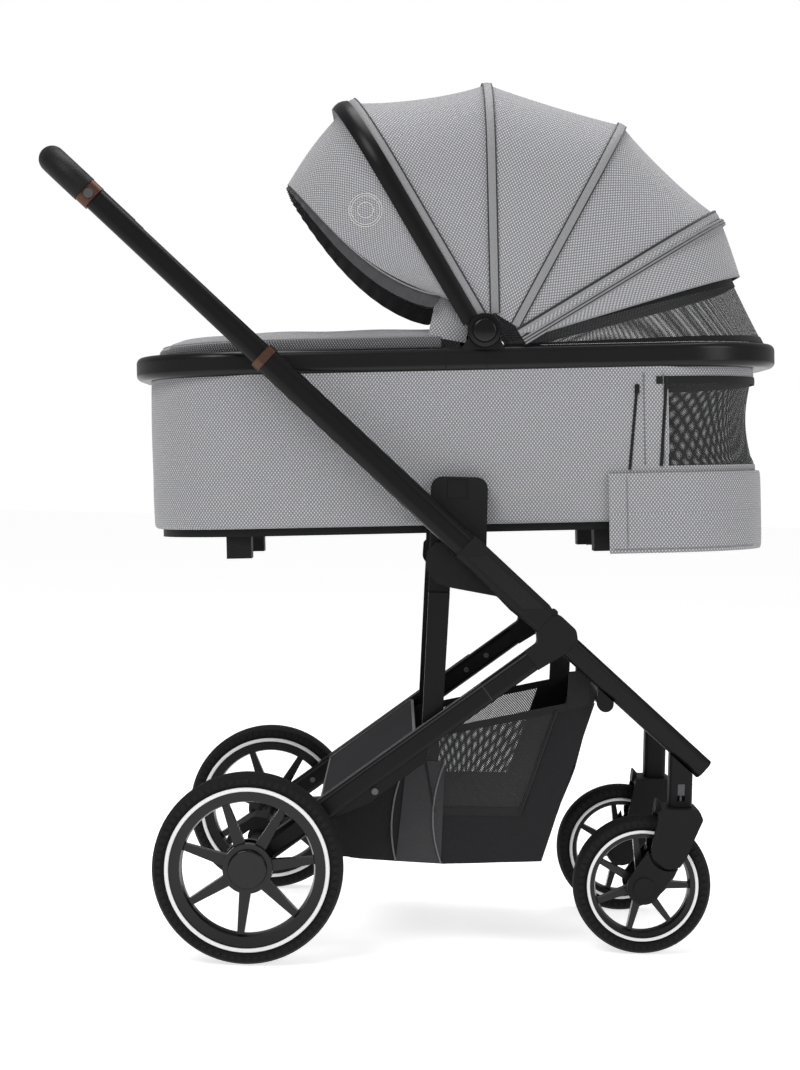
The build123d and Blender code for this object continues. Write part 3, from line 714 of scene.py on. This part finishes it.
def round_strip(name, plan, levels, step, material, thick, keep=None, flip=False):
    """A wall that follows a plan; levels are (height, outward) pairs from bottom to top."""
    start = plan.side + plan.bend + plan.end / 2
    rounds = round(plan.length / step)
    run = [0.0]
    for (z0, o0), (z1, o1) in zip(levels, levels[1:]):
        run.append(run[-1] + hypot(z1 - z0, o1 - o0))

    def place(s, t):
        z, out = levels[round(s * (len(levels) - 1))]
        x, y = plan.at(start + t * plan.length, out)
        return cot(x, y, z)

    def chart(s, t):
        return t * plan.length, run[round(s * (len(levels) - 1))]

    piece = sheet_grid(name, len(levels) - 1, rounds, place, chart, material, 0.0)
    mesh = piece.data
    bpy.ops.object.mode_set(mode="EDIT")
    bpy.ops.mesh.select_all(action="SELECT")
    bpy.ops.mesh.remove_doubles(threshold=0.00002)
    if keep is not None:
        bpy.ops.mesh.select_all(action="DESELECT")
        bpy.ops.object.mode_set(mode="OBJECT")
        for face in mesh.polygons:
            face.select = not keep(level_place(face.center))
        bpy.ops.object.mode_set(mode="EDIT")
        bpy.context.tool_settings.mesh_select_mode = (False, False, True)
        bpy.ops.mesh.delete(type="FACE")
        bpy.ops.mesh.select_mode(type="VERT")
    bpy.ops.mesh.select_all(action="SELECT")
    if flip:
        bpy.ops.mesh.flip_normals()
    bpy.ops.object.mode_set(mode="OBJECT")
    piece["cut_area"] = sum(face.area for face in mesh.polygons)
    if thick:
        thicken(piece, thick)
        smooth(50)
    return piece


def level_place(spot):
    """The level-carrycot place of a point on the tilted one."""
    dx, dz = spot.x - REAR_AXLE - PIVOT_X, spot.z - PIVOT_Z
    return Vector((PIVOT_X + dx * cos(COT_TILT) + dz * sin(COT_TILT), spot.y,
                   PIVOT_Z - dx * sin(COT_TILT) + dz * cos(COT_TILT)))


tub_plan = Plan(-0.158, 0.697, 0.188, 0.150)
wall_levels = [(0.5856, -0.030), (0.5856, -0.018), (0.5856, -0.0085), (0.5863, -0.0045), (0.5885, -0.0016),
               (0.592, -0.0004),
               (0.610, 0.0002), (0.635, 0.0006), (WINDOW_LOW, 0.0004), (0.680, 0.0007), (0.70, 0.0010), (0.72, 0.0011),
               (0.74, 0.0010), (0.76, 0.0007), (WINDOW_HIGH, 0.0003), (0.790, 0.0), (0.8025, 0.0)]
outside_window = lambda p: not (p.x > WINDOW_X and WINDOW_LOW < p.z < WINDOW_HIGH)
tub_wall = round_strip("tub_wall", tub_plan, wall_levels, 0.0075, melange, 0.0035, keep=outside_window)
cloth(tub_wall, "carrycot", "tub")
inner_plan = Plan(-0.150, 0.689, 0.180, 0.142)
inner_levels = [(0.597, -0.1), (0.597, -0.004), (0.600, -0.001), (0.606, 0.0), (0.65, 0.0), (WINDOW_LOW, 0.0),
                (0.70, 0.0), (0.74, 0.0), (WINDOW_HIGH, 0.0), (0.803, 0.0)]
lining_cloth = weave("cot_lining_cotton", (0.42, 0.42, 0.43), (0.62, 0.62, 0.63), 0.0014, 0.0001, twill=True)
tub_lining = round_strip("tub_lining", inner_plan, inner_levels, 0.009, lining_cloth, 0.0012,
                         keep=outside_window, flip=True)
cloth(tub_lining, "carrycot")


def seam(name, points, material, radius=0.0007, body="carrycot"):
    """A sewn line: a thin cord lying in the cloth."""
    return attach(tube(name, points, radius, material), body)


def on_wall(x, z, side, out=0.0):
    """A point on the tub's side wall at a level place."""
    plan = tub_plan
    centre_x = plan.x1 - plan.corner
    if x <= centre_x:
        return cot(x, side * (plan.half + out), z)
    a = asin(min(1.0, (x - centre_x) / plan.corner))
    r = plan.corner + out
    return cot(centre_x + r * sin(a), side * (plan.half - plan.corner + r * cos(a)), z)


# Painted shadow: thin grey cords stand for the shade in the seams beside the airing window.
seam_shadow_grey = weave("seam_shadow", (0.12, 0.12, 0.125), (0.2, 0.2, 0.21), 0.0008, 0.0001, twill=True)
for side, tag in SIDES:
    for label, x in (("fore", 0.526), ("aft", 0.5525)):
        seam(f"window_seam_{label}_{tag}", [on_wall(x, 0.662 + k * 0.0066, side, 0.0012) for k in range(20)],
             seam_shadow_grey)
    zip_line = [on_wall(0.517 - 0.012 * (1 - k / 16), 0.656 + k * 0.0072, side, 0.0012) for k in range(17)]
    seam(f"window_zip_{tag}", zip_line, black_twill, radius=0.0021)
    slider = tube(f"zip_slider_{tag}", [zip_line[-1], zip_line[-1] + Vector((0, side * 0.001, -0.012))], 0.0032, nylon)
    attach(slider, "carrycot")


# ---------------------------------------------------------------- airing window and its cover
# Black net bound in black tape closes the window round the head end; the cloth cover that
# zips over it is folded down and hangs in a padded roll below.

net_levels = [(WINDOW_LOW - 0.004, 0.0), (WINDOW_LOW + 0.004, -0.002)] + [
    (WINDOW_LOW + 0.121 * k / 10, -0.003 - 0.009 * sin(pi * k / 10)) for k in range(1,
            10)] + [(WINDOW_HIGH + 0.004, 0.0)]
in_window = lambda p: p.x > WINDOW_X - 0.010
dark_net = net("window_net_black", (0.008, 0.008, 0.009), 0.0017, 0.6)
window_net = round_strip("window_net", tub_plan, net_levels, 0.0075, dark_net, 0.0, keep=in_window)
cloth(window_net, "carrycot", "window_mesh")


def window_band(name, low, high, out=0.0014):
    band = round_strip(name, tub_plan, [(low, out), ((low + high) / 2, out + 0.0004), (high, out)], 0.0075,
                       black_twill, 0.0014, keep=in_window)
    cloth(band, "carrycot")


window_band("window_binding_top", WINDOW_HIGH - 0.0095, WINDOW_HIGH + 0.001)
for side, tag in SIDES:
    seam(f"window_binding_{tag}", [on_wall(WINDOW_X + 0.001 - 0.009 * (1 - k / 17), WINDOW_LOW + k * 0.0071,
                                           side, 0.0008) for k in range(18)],
         black_twill, radius=0.0024)

flap_ring = []
for k in range(28):
    a = 2 * pi * k / 27
    high, wide = copysign(abs(sin(a)) ** 0.35, sin(a)), copysign(abs(cos(a)) ** 0.55, cos(a))
    flap_ring.append((0.5965 + 0.0548 * high, 0.0042 + 0.0036 * wide))
flap_body = round_strip("window_cover", tub_plan, flap_ring, 0.0075, melange, 0.0, keep=lambda p: p.x > 0.479,
                        flip=True)
mend(merge=0.0001, cap=True)
smooth(60)
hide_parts("window_flap")
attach(flap_body, "carrycot")
# The cover's seam and fold lines are painted shadow too, drawn as cords in the same grey.
for side, tag in SIDES:
    seam(f"cover_seam_{tag}", [on_wall(0.5, 0.545 + k * 0.0052, side,
                                       0.0080 - 0.002 * abs(k - 10) ** 6 / 1e6) for k in range(21)],
         seam_shadow_grey, radius=0.0008)
    seam(f"cover_fold_{tag}", [on_wall(0.4805 + k * 0.013, 0.5475, side, 0.0074) for k in range(16)],
         seam_shadow_grey, radius=0.0006)


# ---------------------------------------------------------------- rim
# A satin black moulded rail clipped all round the tub, in lengths joined beside the hood hub.

rim_gloss = coated("rim_moulding", (0.0035, 0.0035, 0.004), (0.007, 0.007, 0.008), 0.3, 1500, 0.2, coat=0.2)
dress(rim_gloss, "cot_rim")
for side, tag in SIDES:
    for label, x in (("fore", 0.258), ("aft", 0.313)):
        seam(f"rim_joint_{label}_{tag}", [cot(x, side * 0.1921, 0.7985 + k * 0.0045) for k in range(6)], nylon,
             radius=0.0006)


# ---------------------------------------------------------------- apron and mattress
# A padded cover zips over the foot end: light quilted top, darker honeycomb sides under a crest
# seam. Inside lies a thin foam mattress in white jersey.

APRON_CUT = 0.252


def apron_path(inset, t):
    """A point on the apron's outline moved in; t runs round the foot end from side to side."""
    plan = Plan(-0.146, 0.9, max(0.0005, 0.176 - inset), max(0.0004, 0.138 - inset))
    plan.x0 = -0.146 + inset
    reach = APRON_CUT - (plan.x0 + plan.corner)
    total = 2 * reach + 2 * plan.bend + plan.end
    d = t * total
    if d < reach:
        return APRON_CUT - d, -plan.half
    if d > total - reach:
        return APRON_CUT - (total - d), plan.half
    d -= reach
    if d < plan.bend:
        a = d / plan.corner
        return plan.x0 + plan.corner - plan.corner * sin(a), -plan.half + plan.corner - plan.corner * cos(a)
    d -= plan.bend
    if d < plan.end:
        return plan.x0, -plan.half + plan.corner + d
    a = (d - plan.end) / plan.corner
    return plan.x0 + plan.corner - plan.corner * cos(a), plan.half - plan.corner + plan.corner * sin(a)


apron_profile = [(0.0, 0.8225), (-0.0005, 0.8285), (0.0, 0.8335), (0.0015, 0.8385), (0.0040, 0.8418),
                 (0.0060, 0.8428), (0.0072, 0.8422),
                 (0.0085, 0.8436), (0.0120, 0.8476), (0.018, 0.8512), (0.028, 0.8541), (0.045, 0.8562), (0.08, 0.8573),
                 (0.12, 0.8577), (0.15, 0.8579), (0.1755, 0.858)]


apron_run = [0.0]
for (i0, z0), (i1, z1) in zip(apron_profile, apron_profile[1:]):
    apron_run.append(apron_run[-1] + hypot(i1 - i0, z1 - z0))


def foot_drop(x):
    """The cover sinks towards the foot end."""
    return 0.006 * max(0.0, min(1.0, (0.06 - x) / 0.2)) ** 1.5


def apron_place(s, t):
    inset, z = apron_profile[round(s * (len(apron_profile) - 1))]
    x, y = apron_path(inset, t)
    crown = 1.0 if z > 0.846 else 0.45
    dimple = 0.0009 * sin(x / 0.021) * sin(y / 0.024) * (1 if inset > 0.02 else 0)
    return cot(x, y, z - foot_drop(x) * crown + dimple)


apron_top = sheet_grid("apron_cover", len(apron_profile) - 1, 150, apron_place,
                       lambda s, t: (t * 1.19, apron_run[round(s * (len(apron_profile) - 1))]), melange, 0.0)
charcoal = weave("apron_side_honeycomb", (0.03, 0.03, 0.033), (0.26, 0.26, 0.27), 0.0034, 0.0005)
top_cloth = weave("apron_top_cloth", (0.25, 0.25, 0.26), (0.46, 0.46, 0.475), 0.002, 0.0003)
paint(apron_top, charcoal, top_cloth)
for face in apron_top.data.polygons:
    p = level_place(face.center)
    face.material_index = 1 if p.z + foot_drop(p.x) > 0.8431 else 0
mend(merge=0.0006)
thicken(apron_top, 0.007)
smooth(60)
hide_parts("apron")
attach(apron_top, "carrycot")
crest = [cot(*apron_path(0.0066, k / 120), 0.8430 - foot_drop(apron_path(0.0066,
        k / 120)[0]) * 0.45) for k in range(121)]
seam("apron_crest_piping", crest, satin_tape, radius=0.0014)
seam("apron_edge_tape", [cot(APRON_CUT + 0.001, y * 0.0065,
                             0.8568 if abs(y) < 25 else 0.851) for y in range(-26, 27)], satin_tape, radius=0.0022)

mattress_rings = [(0.020, 0.5964), (0.004, 0.5970), (0.0005, 0.600), (0.0, 0.606), (0.0, 0.614),
                  (0.0012, 0.6195), (0.005, 0.6228),
                  (0.0115, 0.6238), (0.013, 0.6226), (0.0145, 0.6238), (0.03, 0.6262), (0.06, 0.6285),
                  (0.1, 0.6300), (0.139, 0.6305)]
jersey = weave("mattress_jersey", (0.7, 0.7, 0.69), (0.85, 0.85, 0.84), 0.0012, 0.00012, twill=True)
mattress_plan = Plan(-0.1475, 0.6865, 0.1775, 0.1395)


def mattress_place(s, t):
    inset, z = mattress_rings[round(s * (len(mattress_rings) - 1))]
    plan = mattress_plan
    start = plan.side + plan.bend + plan.end / 2
    x, y = plan.at(start + t * plan.length, -inset)
    return cot(x, y, z)


mattress = sheet_grid("mattress_pad", len(mattress_rings) - 1, 120, mattress_place, lambda s,
                      t: (t * 2.1, s * 0.2), jersey, 0.0)
mend(merge=0.0002, cap=True)
smooth(50)
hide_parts("mattress")
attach(mattress, "carrycot")


# ---------------------------------------------------------------- hood gussets and badge
# A small cloth gusset ties the hood to the apron beside each hub, and a plain ringed badge is
# printed on the visor's near side.

for side, tag in SIDES:
    corners = [(-0.066, 0.046), (-0.050, 0.049), (-0.022, 0.006), (-0.024, -0.016), (-0.076, -0.008)]

    def gusset_place(s, t):
        left = Vector((corners[0][0], corners[0][1])).lerp(Vector((corners[4][0], corners[4][1])), t)
        right = (Vector(corners[1]).lerp(Vector(corners[2]), min(1, t * 1.6)) if t < 0.625 else
                 Vector(corners[2]).lerp(Vector(corners[3]), (t - 0.625) / 0.375))
        spot = left.lerp(right, s)
        return Vector((HUB.x + spot.x, side * (0.168 + 0.003 * sin(pi * s)), HUB.z + spot.y))

    gusset = sheet_grid(f"hood_gusset_{tag}", 10, 10, gusset_place, lambda s, t: (s * 0.05, t * 0.06), melange, 0.0018,
                        flip=side < 0)
    cloth(gusset, "carrycot")

badge_ink = coated("badge_print", (0.5, 0.49, 0.47), (0.62, 0.6, 0.58), 0.6, 900, 0.1)


def visor_surface(radius, angle):
    """The near side of the visor at a polar place: the visor's own surface, found by ray."""
    target = polar(radius, angle)
    hit, place, normal, _ = visor.ray_cast(Vector((target.x, -1.0, target.z)), Vector((0, 1, 0)))
    return (place + normal * 0.0006) if hit else Vector((target.x, -0.188, target.z))


centre = polar(229, 136)
for label, size in (("outer", 0.0225), ("middle", 0.0195), ("inner", 0.0105)):
    ring = []
    for k in range(49):
        a = 2 * pi * k / 48
        spot = centre + Vector((cos(a), 0, sin(a))) * size
        offset = spot - HUB
        ring.append(visor_surface(hypot(offset.x, offset.z) * 1000, degrees(atan2(offset.z, offset.x))))
    badge = tube(f"badge_ring_{label}", ring[:-1], 0.0005, badge_ink, closed=True)
    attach(badge, "hood_1")


# ---------------------------------------------------------------- shopping basket
# A soft open-topped basket of black net and twill panels, hung from the rear panel and the front
# cross tube. It sags a little in the middle and is bound along its top with webbing.

BASKET_HALF = 0.1845
basket_twill = weave("basket_twill", (0.004, 0.004, 0.0045), (0.016, 0.016, 0.018), 0.0022, 0.00022, twill=True,
                     sheen=0.1)
webbing = weave("black_webbing", (0.006, 0.006, 0.0065), (0.022, 0.022, 0.024), 0.0016, 0.0002, twill=True, sheen=0.1)
basket_net = net("basket_net", (0.012, 0.012, 0.013), 0.0026, 0.63)
band_cloth = weave("basket_band_cloth", (0.02, 0.02, 0.021), (0.055, 0.055, 0.058), 0.0014, 0.00015, twill=True,
                   sheen=0.1)
grey_cord = weave("reflective_piping", (0.09, 0.09, 0.093), (0.17, 0.17, 0.175), 0.001, 0.0001, twill=True)


def side_bulge(x, z):
    """How far the loaded-looking side swells out of its flat cut."""
    u = max(0.0, min(1.0, (x - 0.095) / 0.36))
    v = max(0.0, min(1.0, (z - 0.118) / 0.21))
    return 0.0045 * sin(pi * u) * sin(pi * min(1.0, v * 1.1)) - 0.006 * (1 - v) ** 4


def on_basket(x, z, side, out):
    """A point just off the basket's swollen side."""
    return Vector((REAR_AXLE + x, side * (BASKET_HALF + out + side_bulge(x, z)), z))


def basket_side(name, corners, side, material, lift, thick):
    """A panel of the basket's side between four (x, z) corners."""
    a, b, c, d = [Vector((x, z)) for x, z in corners]

    def place(s, t):
        spot = a.lerp(b, s).lerp(d.lerp(c, s), t)
        crease = 0.0006 * sin(spot.x / 0.011 + spot.y / 0.023)
        return Vector((REAR_AXLE + spot.x, side * (BASKET_HALF - 0.003 + side_bulge(spot.x,
                spot.y) + crease + lift), spot.y))

    wide = max((b - a).length, (c - d).length)
    tall = max((d - a).length, (c - b).length)
    panel = sheet_grid(name, 14, 14, place, lambda s, t: (s * wide, t * tall), material, thick, flip=side > 0)
    cloth(panel, "rear_frame")


for side, tag in SIDES:
    for label, corners, material, lift, thick in (
        ("rear_side", [(0.0960, 0.197), (0.122, 0.127), (0.262, 0.1195), (0.226, 0.300)], basket_twill, 0.0, 0.0012),
        ("foot_side", [(0.262, 0.1195), (0.3960, 0.1262), (0.4155, 0.193), (0.2475, 0.193)], basket_twill, 0.0, 0.0012),
        ("window", [(0.2475, 0.193), (0.3644, 0.194), (0.411, 0.334), (0.228, 0.293)], basket_net, 0.0, 0.0),
        ("fore_side", [(0.3644, 0.193), (0.4155, 0.192), (0.4635, 0.346), (0.411, 0.334)], basket_twill, 0.0, 0.0012),
        ("top_band", [(0.226, 0.2895), (0.4612, 0.343), (0.4640, 0.3535), (0.226, 0.3005)], webbing, 0.0008, 0.0018),
        ("net_binding", [(0.249, 0.188), (0.366, 0.189), (0.3668, 0.2), (0.2475, 0.1995)], webbing, 0.0012, 0.0014),
        ("slant_band", [(0.196, 0.1222), (0.258, 0.1202), (0.2600, 0.262), (0.208, 0.262)], band_cloth, 0.0014, 0.0014),
        ("strap", [(0.4255, 0.338), (0.4560, 0.344), (0.4570, 0.392), (0.4265, 0.388)], webbing, 0.0016, 0.002),
    ):
        basket_side(f"basket_{label}_{tag}", corners, side, material, lift, thick)
    for label, line in (("aft", ((0.196, 0.1225), (0.178, 0.19), (0.208, 0.261))),
                        ("fore", ((0.258, 0.1215), (0.232, 0.19), (0.260, 0.261)))):
        points = []
        for k in range(21):
            u = k / 20
            p = Vector(line[0]) * (1 - u) ** 2 + Vector(line[1]) * 2 * u * (1 - u) + Vector(line[2]) * u * u
            points.append(on_basket(p.x, p.y, side, -0.0005))
        seam(f"basket_piping_{label}_{tag}", points, grey_cord, radius=0.0011, body="rear_frame")
    for label, ends in (("window_rear", ((0.2475, 0.193), (0.228, 0.293))),
                        ("window_fore", ((0.3644, 0.193), (0.411, 0.334)))):
        (x0, z0), (x1, z1) = ends
        spots = [on_basket(x0 + (x1 - x0) * k / 12, z0 + (z1 - z0) * k / 12, side, -0.0015) for k in range(13)]
        seam(f"basket_{label}_{tag}", spots, webbing, radius=0.0018, body="rear_frame")


def basket_wrap(name, run, material, thick=0.0014, sag=0.004, inset=0.004):
    """The part of the basket that runs from side to side along a line of (x, z) points."""
    lengths = [0.0]
    for a, b in zip(run, run[1:]):
        lengths.append(lengths[-1] + (Vector(b) - Vector(a)).length)
    total = lengths[-1]

    def place(s, t):
        d = s * total
        k = max(i for i in range(len(run) - 1) if lengths[i] <= d + 1e-9)
        u = (d - lengths[k]) / (lengths[k + 1] - lengths[k])
        spot = Vector(run[k]).lerp(Vector(run[k + 1]), u)
        hang = sag * sin(pi * t) * sin(pi * s)
        half = BASKET_HALF - inset + side_bulge(spot.x, spot.y)
        return Vector((REAR_AXLE + spot.x, (2 * t - 1) * half, spot.y + 0.0035 - hang * 0.8))

    panel = sheet_grid(name, 40, 28, place, lambda s, t: (s * total, t * 0.37), material, thick)
    return cloth(panel, "rear_frame")


floor_run = [(0.0975, 0.196), (0.100, 0.175), (0.1085, 0.1425), (0.119, 0.129), (0.136, 0.1225),
             (0.216, 0.1190), (0.30, 0.1215), (0.385, 0.1262),
             (0.3945, 0.1275), (0.399, 0.140), (0.4135, 0.190), (0.4365, 0.249), (0.4485, 0.300), (0.4625, 0.352)]
basket_floor = basket_wrap("basket_floor", floor_run, basket_twill)
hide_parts("basket")

for part in [o for o in bpy.context.scene.objects if o.name.startswith("basket_")]:
    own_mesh(part)


# ---------------------------------------------------------------- rear panel
# A stiffened flap of charcoal cloth, piped along both edges, bridges the rear legs above the
# back of the basket.

violet_grey = weave("rear_panel_cloth", (0.008, 0.0075, 0.01), (0.024, 0.022, 0.028), 0.0018, 0.00018,
                    twill=True, sheen=0.02)
LEG_ANGLE, REAR_HUB_Z = radians(37), 0.127
PANEL_LOW, PANEL_RUN = 0.1245, 0.155
leg_dir = Vector((cos(LEG_ANGLE), 0, sin(LEG_ANGLE)))
leg_up = Vector((-leg_dir.z, 0, leg_dir.x))


def panel_spot(along, out, y):
    return Vector((REAR_AXLE, 0, REAR_HUB_Z)) + leg_dir * along + leg_up * out + Vector((0, y, 0))


def rear_cover_place(s, t):
    x = PANEL_LOW + PANEL_RUN * s
    swell = 0.003 * sin(pi * s) * sin(pi * t)
    return panel_spot(x, 0.0115 + swell, (2 * t - 1) * 0.2205)


rear_cover = sheet_grid("rear_cover", 20, 40, rear_cover_place, lambda s, t: (s * PANEL_RUN, t * 0.44),
                        violet_grey, 0.006)
cloth(rear_cover, "rear_frame", "rear_panel")
for label, x in (("low", PANEL_LOW), ("high", PANEL_LOW + PANEL_RUN)):
    seam(f"rear_cover_piping_{label}", [panel_spot(x, 0.010, (2 * k / 20 - 1) * 0.221) for k in range(21)],
         grey_cord, radius=0.0022, body="rear_frame")
for side, tag in SIDES:
    seam(f"rear_cover_piping_{tag}", [panel_spot(PANEL_LOW + PANEL_RUN * k / 10, 0.0125,
                                                 side * 0.2165) for k in range(11)], grey_cord, radius=0.0016,
                                                 body="rear_frame")


# ---------------------------------------------------------------- leg rails: painted highlights
# Each rear leg carries a narrow moulded strip along its top edge, over the seam of its sleeve; it is painted lighter
# than the leg as the highlight along that edge.

# Painted highlight: a black several times lighter than the powder coat, for the strip along each leg's top edge; the
# sleeve seam is drawn in it too.
highlight_and_seam_black = coated("highlight_and_seam_moulding", (0.02, 0.02, 0.021), (0.04, 0.04, 0.042), 0.24, 900, 0.08, coat=0.2, shine=0.3)
for side, tag in SIDES:
    seam(f"leg_highlight_rail_{tag}", [panel_spot(0.105 + 0.0115 * k, 0.0147, side * 0.2435) for k in range(26)],
         highlight_and_seam_black, radius=0.0012,
         body="rear_frame")
    seam(f"leg_sleeve_seam_{tag}", [panel_spot(0.392, -0.0125 + 0.0025 * k, side * 0.2483) for k in range(11)],
         highlight_and_seam_black,
         radius=0.0005, body="rear_frame")


# ---------------------------------------------------------------- wheels
# Foam-filled black tyres with small shoulder blocks and a pale reflective ring, on glossy
# seven-spoke nylon rims with a domed hub cap.

rubber = coated("tyre_rubber", (0.006, 0.006, 0.0065), (0.014, 0.014, 0.015), 0.72, 1600, 0.7)
rim_plastic = coated("wheel_nylon", (0.003, 0.003, 0.0034), (0.007, 0.007, 0.0075), 0.26, 1200, 0.12, coat=0.35)
ring_white = coated("reflective_ring", (0.62, 0.62, 0.62), (0.78, 0.78, 0.77), 0.4, 1500, 0.15)
dress(rubber, "rear_tyre_L", "rear_tyre_R", "front_tyre_L", "front_tyre_R")
dress(rim_plastic, "rear_rim_L", "rear_rim_R", "front_rim_L", "front_rim_R")


def wheel_trim(name, hub, ring_radius, ring_half, tyre_radius, width, blocks, body):
    """The reflective ring on each face of a tyre, and its rows of tread blocks."""
    for side in (-1, 1):
        bpy.ops.mesh.primitive_torus_add(major_radius=ring_radius, minor_radius=ring_half, major_segments=96,
                                         minor_segments=8,
                                         location=(0, 0, 0), rotation=(pi / 2, 0, 0))
        ring = bpy.context.object
        ring.name = f"{name}_ring_{'out' if side < 0 else 'in'}"
        bpy.ops.object.transform_apply(location=False, rotation=True, scale=False)
        for v in ring.data.vertices:
            v.co = Vector((v.co.x, v.co.y * 0.4, v.co.z)) + Vector((hub.x,
                    hub.y + side * (width * 0.5 - 0.0004), hub.z))
        paint(ring, ring_white)
        bpy.ops.object.shade_smooth()
        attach(ring, body)
    bpy.ops.mesh.primitive_cube_add(size=1)
    tread = bpy.context.object
    tread.name = f"{name}_tread"
    base = [v.co.copy() for v in tread.data.vertices]
    quads = [tuple(p.vertices) for p in tread.data.polygons]
    spots, faces = [], []
    rows = ((0.43, 0.0058, 0.0), (-0.43, 0.0058, 0.5), (0.24, 0.0014, 0.5), (-0.24, 0.0014, 0.0), (0.0, 0.0004, 0.25))
    for share, drop, phase in rows:
        tall = 0.0036 if abs(share) > 0.3 else 0.0016
        for k in range(blocks):
            a = 2 * pi * (k + phase) / blocks
            first = len(spots)
            for p in base:
                r = tyre_radius - drop + (p.z - 0.5) * tall * 2 + 0.0002
                turn = a + p.x * 2 * pi / blocks * 0.62 + (0.012 if p.y > 0 else -0.012)
                spots.append((hub.x + r * cos(turn), hub.y + share * width + p.y * width * 0.17, hub.z + r * sin(turn)))
            faces += [tuple(first + i for i in reversed(q)) for q in quads]
    tread.data.clear_geometry()
    tread.data.from_pydata(spots, [], faces)
    mend()
    paint(tread, rubber)
    tread.location = (0, 0, 0)
    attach(tread, body)


for tag in ("R", "L"):
    lo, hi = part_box(f"rear_tyre_{tag}")
    wheel_trim(f"rear_wheel_{tag}", (Vector(lo) + Vector(hi)) / 2, 0.1065, 0.0027, 0.127, 0.045, 72,
               f"rear_wheel_{tag}")
    lo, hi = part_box(f"front_tyre_{tag}")
    wheel_trim(f"front_wheel_{tag}", (Vector(lo) + Vector(hi)) / 2, 0.0745, 0.0022, 0.095, 0.040, 56,
               f"front_wheel_{tag}")


# ---------------------------------------------------------------- handle grip
# Black stitched leather is wrapped round the handle tube and sewn on its inner face.

def leather_skin(name):
    made, tree, skin = shader(name, Specular_IOR_Level=0.16)
    spot = node(tree, "ShaderNodeTexCoord")
    pores = node(tree, "ShaderNodeTexVoronoi", Scale=520.0)
    folds = node(tree, "ShaderNodeTexNoise", Scale=60.0, Detail=4.0)
    wire(tree, spot, "Object", pores, "Vector")
    wire(tree, spot, "Object", folds, "Vector")
    tone = ramp(tree, [(0.2, (0.003, 0.003, 0.0033)), (0.8, (0.008, 0.008, 0.0085))])
    wire(tree, folds, "Fac", tone, "Fac")
    wire(tree, tone, "Color", skin, "Base Color")
    rough = node(tree, "ShaderNodeMapRange", To_Min=0.42, To_Max=0.6)
    wire(tree, folds, "Fac", rough, "Value")
    wire(tree, rough, "Result", skin, "Roughness")
    dent = node(tree, "ShaderNodeBump", Strength=0.55, Distance=0.0004)
    wire(tree, pores, "Distance", dent, "Height")
    crease = node(tree, "ShaderNodeBump", Strength=0.3, Distance=0.0008)
    wire(tree, folds, "Fac", crease, "Height")
    wire(tree, dent, "Normal", crease, "Normal")
    wire(tree, crease, "Normal", skin, "Normal")
    return made


leather = leather_skin("grip_leather")
dress(leather, "grip")
PUSH_ANGLE = radians(138.2)
push_dir = Vector((cos(PUSH_ANGLE), 0, sin(PUSH_ANGLE)))
push_out = Vector((push_dir.z, 0, -push_dir.x))


def grip_point(d, around):
    """A point on the grip's skin: d metres from the near collar along it, around in radians."""
    low, high, bend, half, radius = 0.844, 0.912, 0.048, 0.235, 0.0186
    leg = high - bend - low
    base = Vector((REAR_AXLE + 0.390, 0, 0.460))
    if d < leg:
        centre, across = base + push_dir * (low + d) + Vector((0, -half, 0)), Vector((0, -1, 0))
    elif d < leg + bend * pi / 2:
        a = (d - leg) / bend
        centre = base + push_dir * (high - bend + bend * sin(a)) + Vector((0, -half + bend - bend * cos(a), 0))
        across = Vector((0, -cos(a), 0)) + push_dir * sin(a)
    else:
        centre = base + push_dir * high + Vector((0, -half + bend + d - leg - bend * pi / 2, 0))
        across = push_dir.copy()
    return centre + (across * cos(around) + push_out * sin(around)) * radius


stitch_thread = weave("stitch_thread", (0.02, 0.02, 0.022), (0.05, 0.05, 0.052), 0.0008, 0.0001, twill=True)
for side in (1, -1):
    for row, around in enumerate((pi - 0.13, pi + 0.13)):
        made = []
        for k in range(46):
            d = 0.006 + k * 0.0062
            ends = [grip_point(spot, around) for spot in (d, d + 0.0036)]
            line = [Vector((p.x, p.y * side, p.z)) for p in ends]
            made.append(tube(f"stitch_{k}", line, 0.0005, stitch_thread, sides=4))
        bpy.ops.object.select_all(action="DESELECT")
        for stitch in made:
            stitch.select_set(True)
        bpy.context.view_layer.objects.active = made[0]
        bpy.ops.object.join()
        sewn = bpy.context.object
        sewn.name = f"grip_stitches_{'near' if side > 0 else 'far'}_{row + 1}"
        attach(sewn, "handle")
    fold = tube(f"grip_seam_{'near' if side > 0 else 'far'}", [Vector((p.x, p.y * side, p.z)) for p in
                (grip_point(0.004 + 0.0055 * k, pi) for k in range(52))], 0.0007, leather)
    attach(fold, "handle")
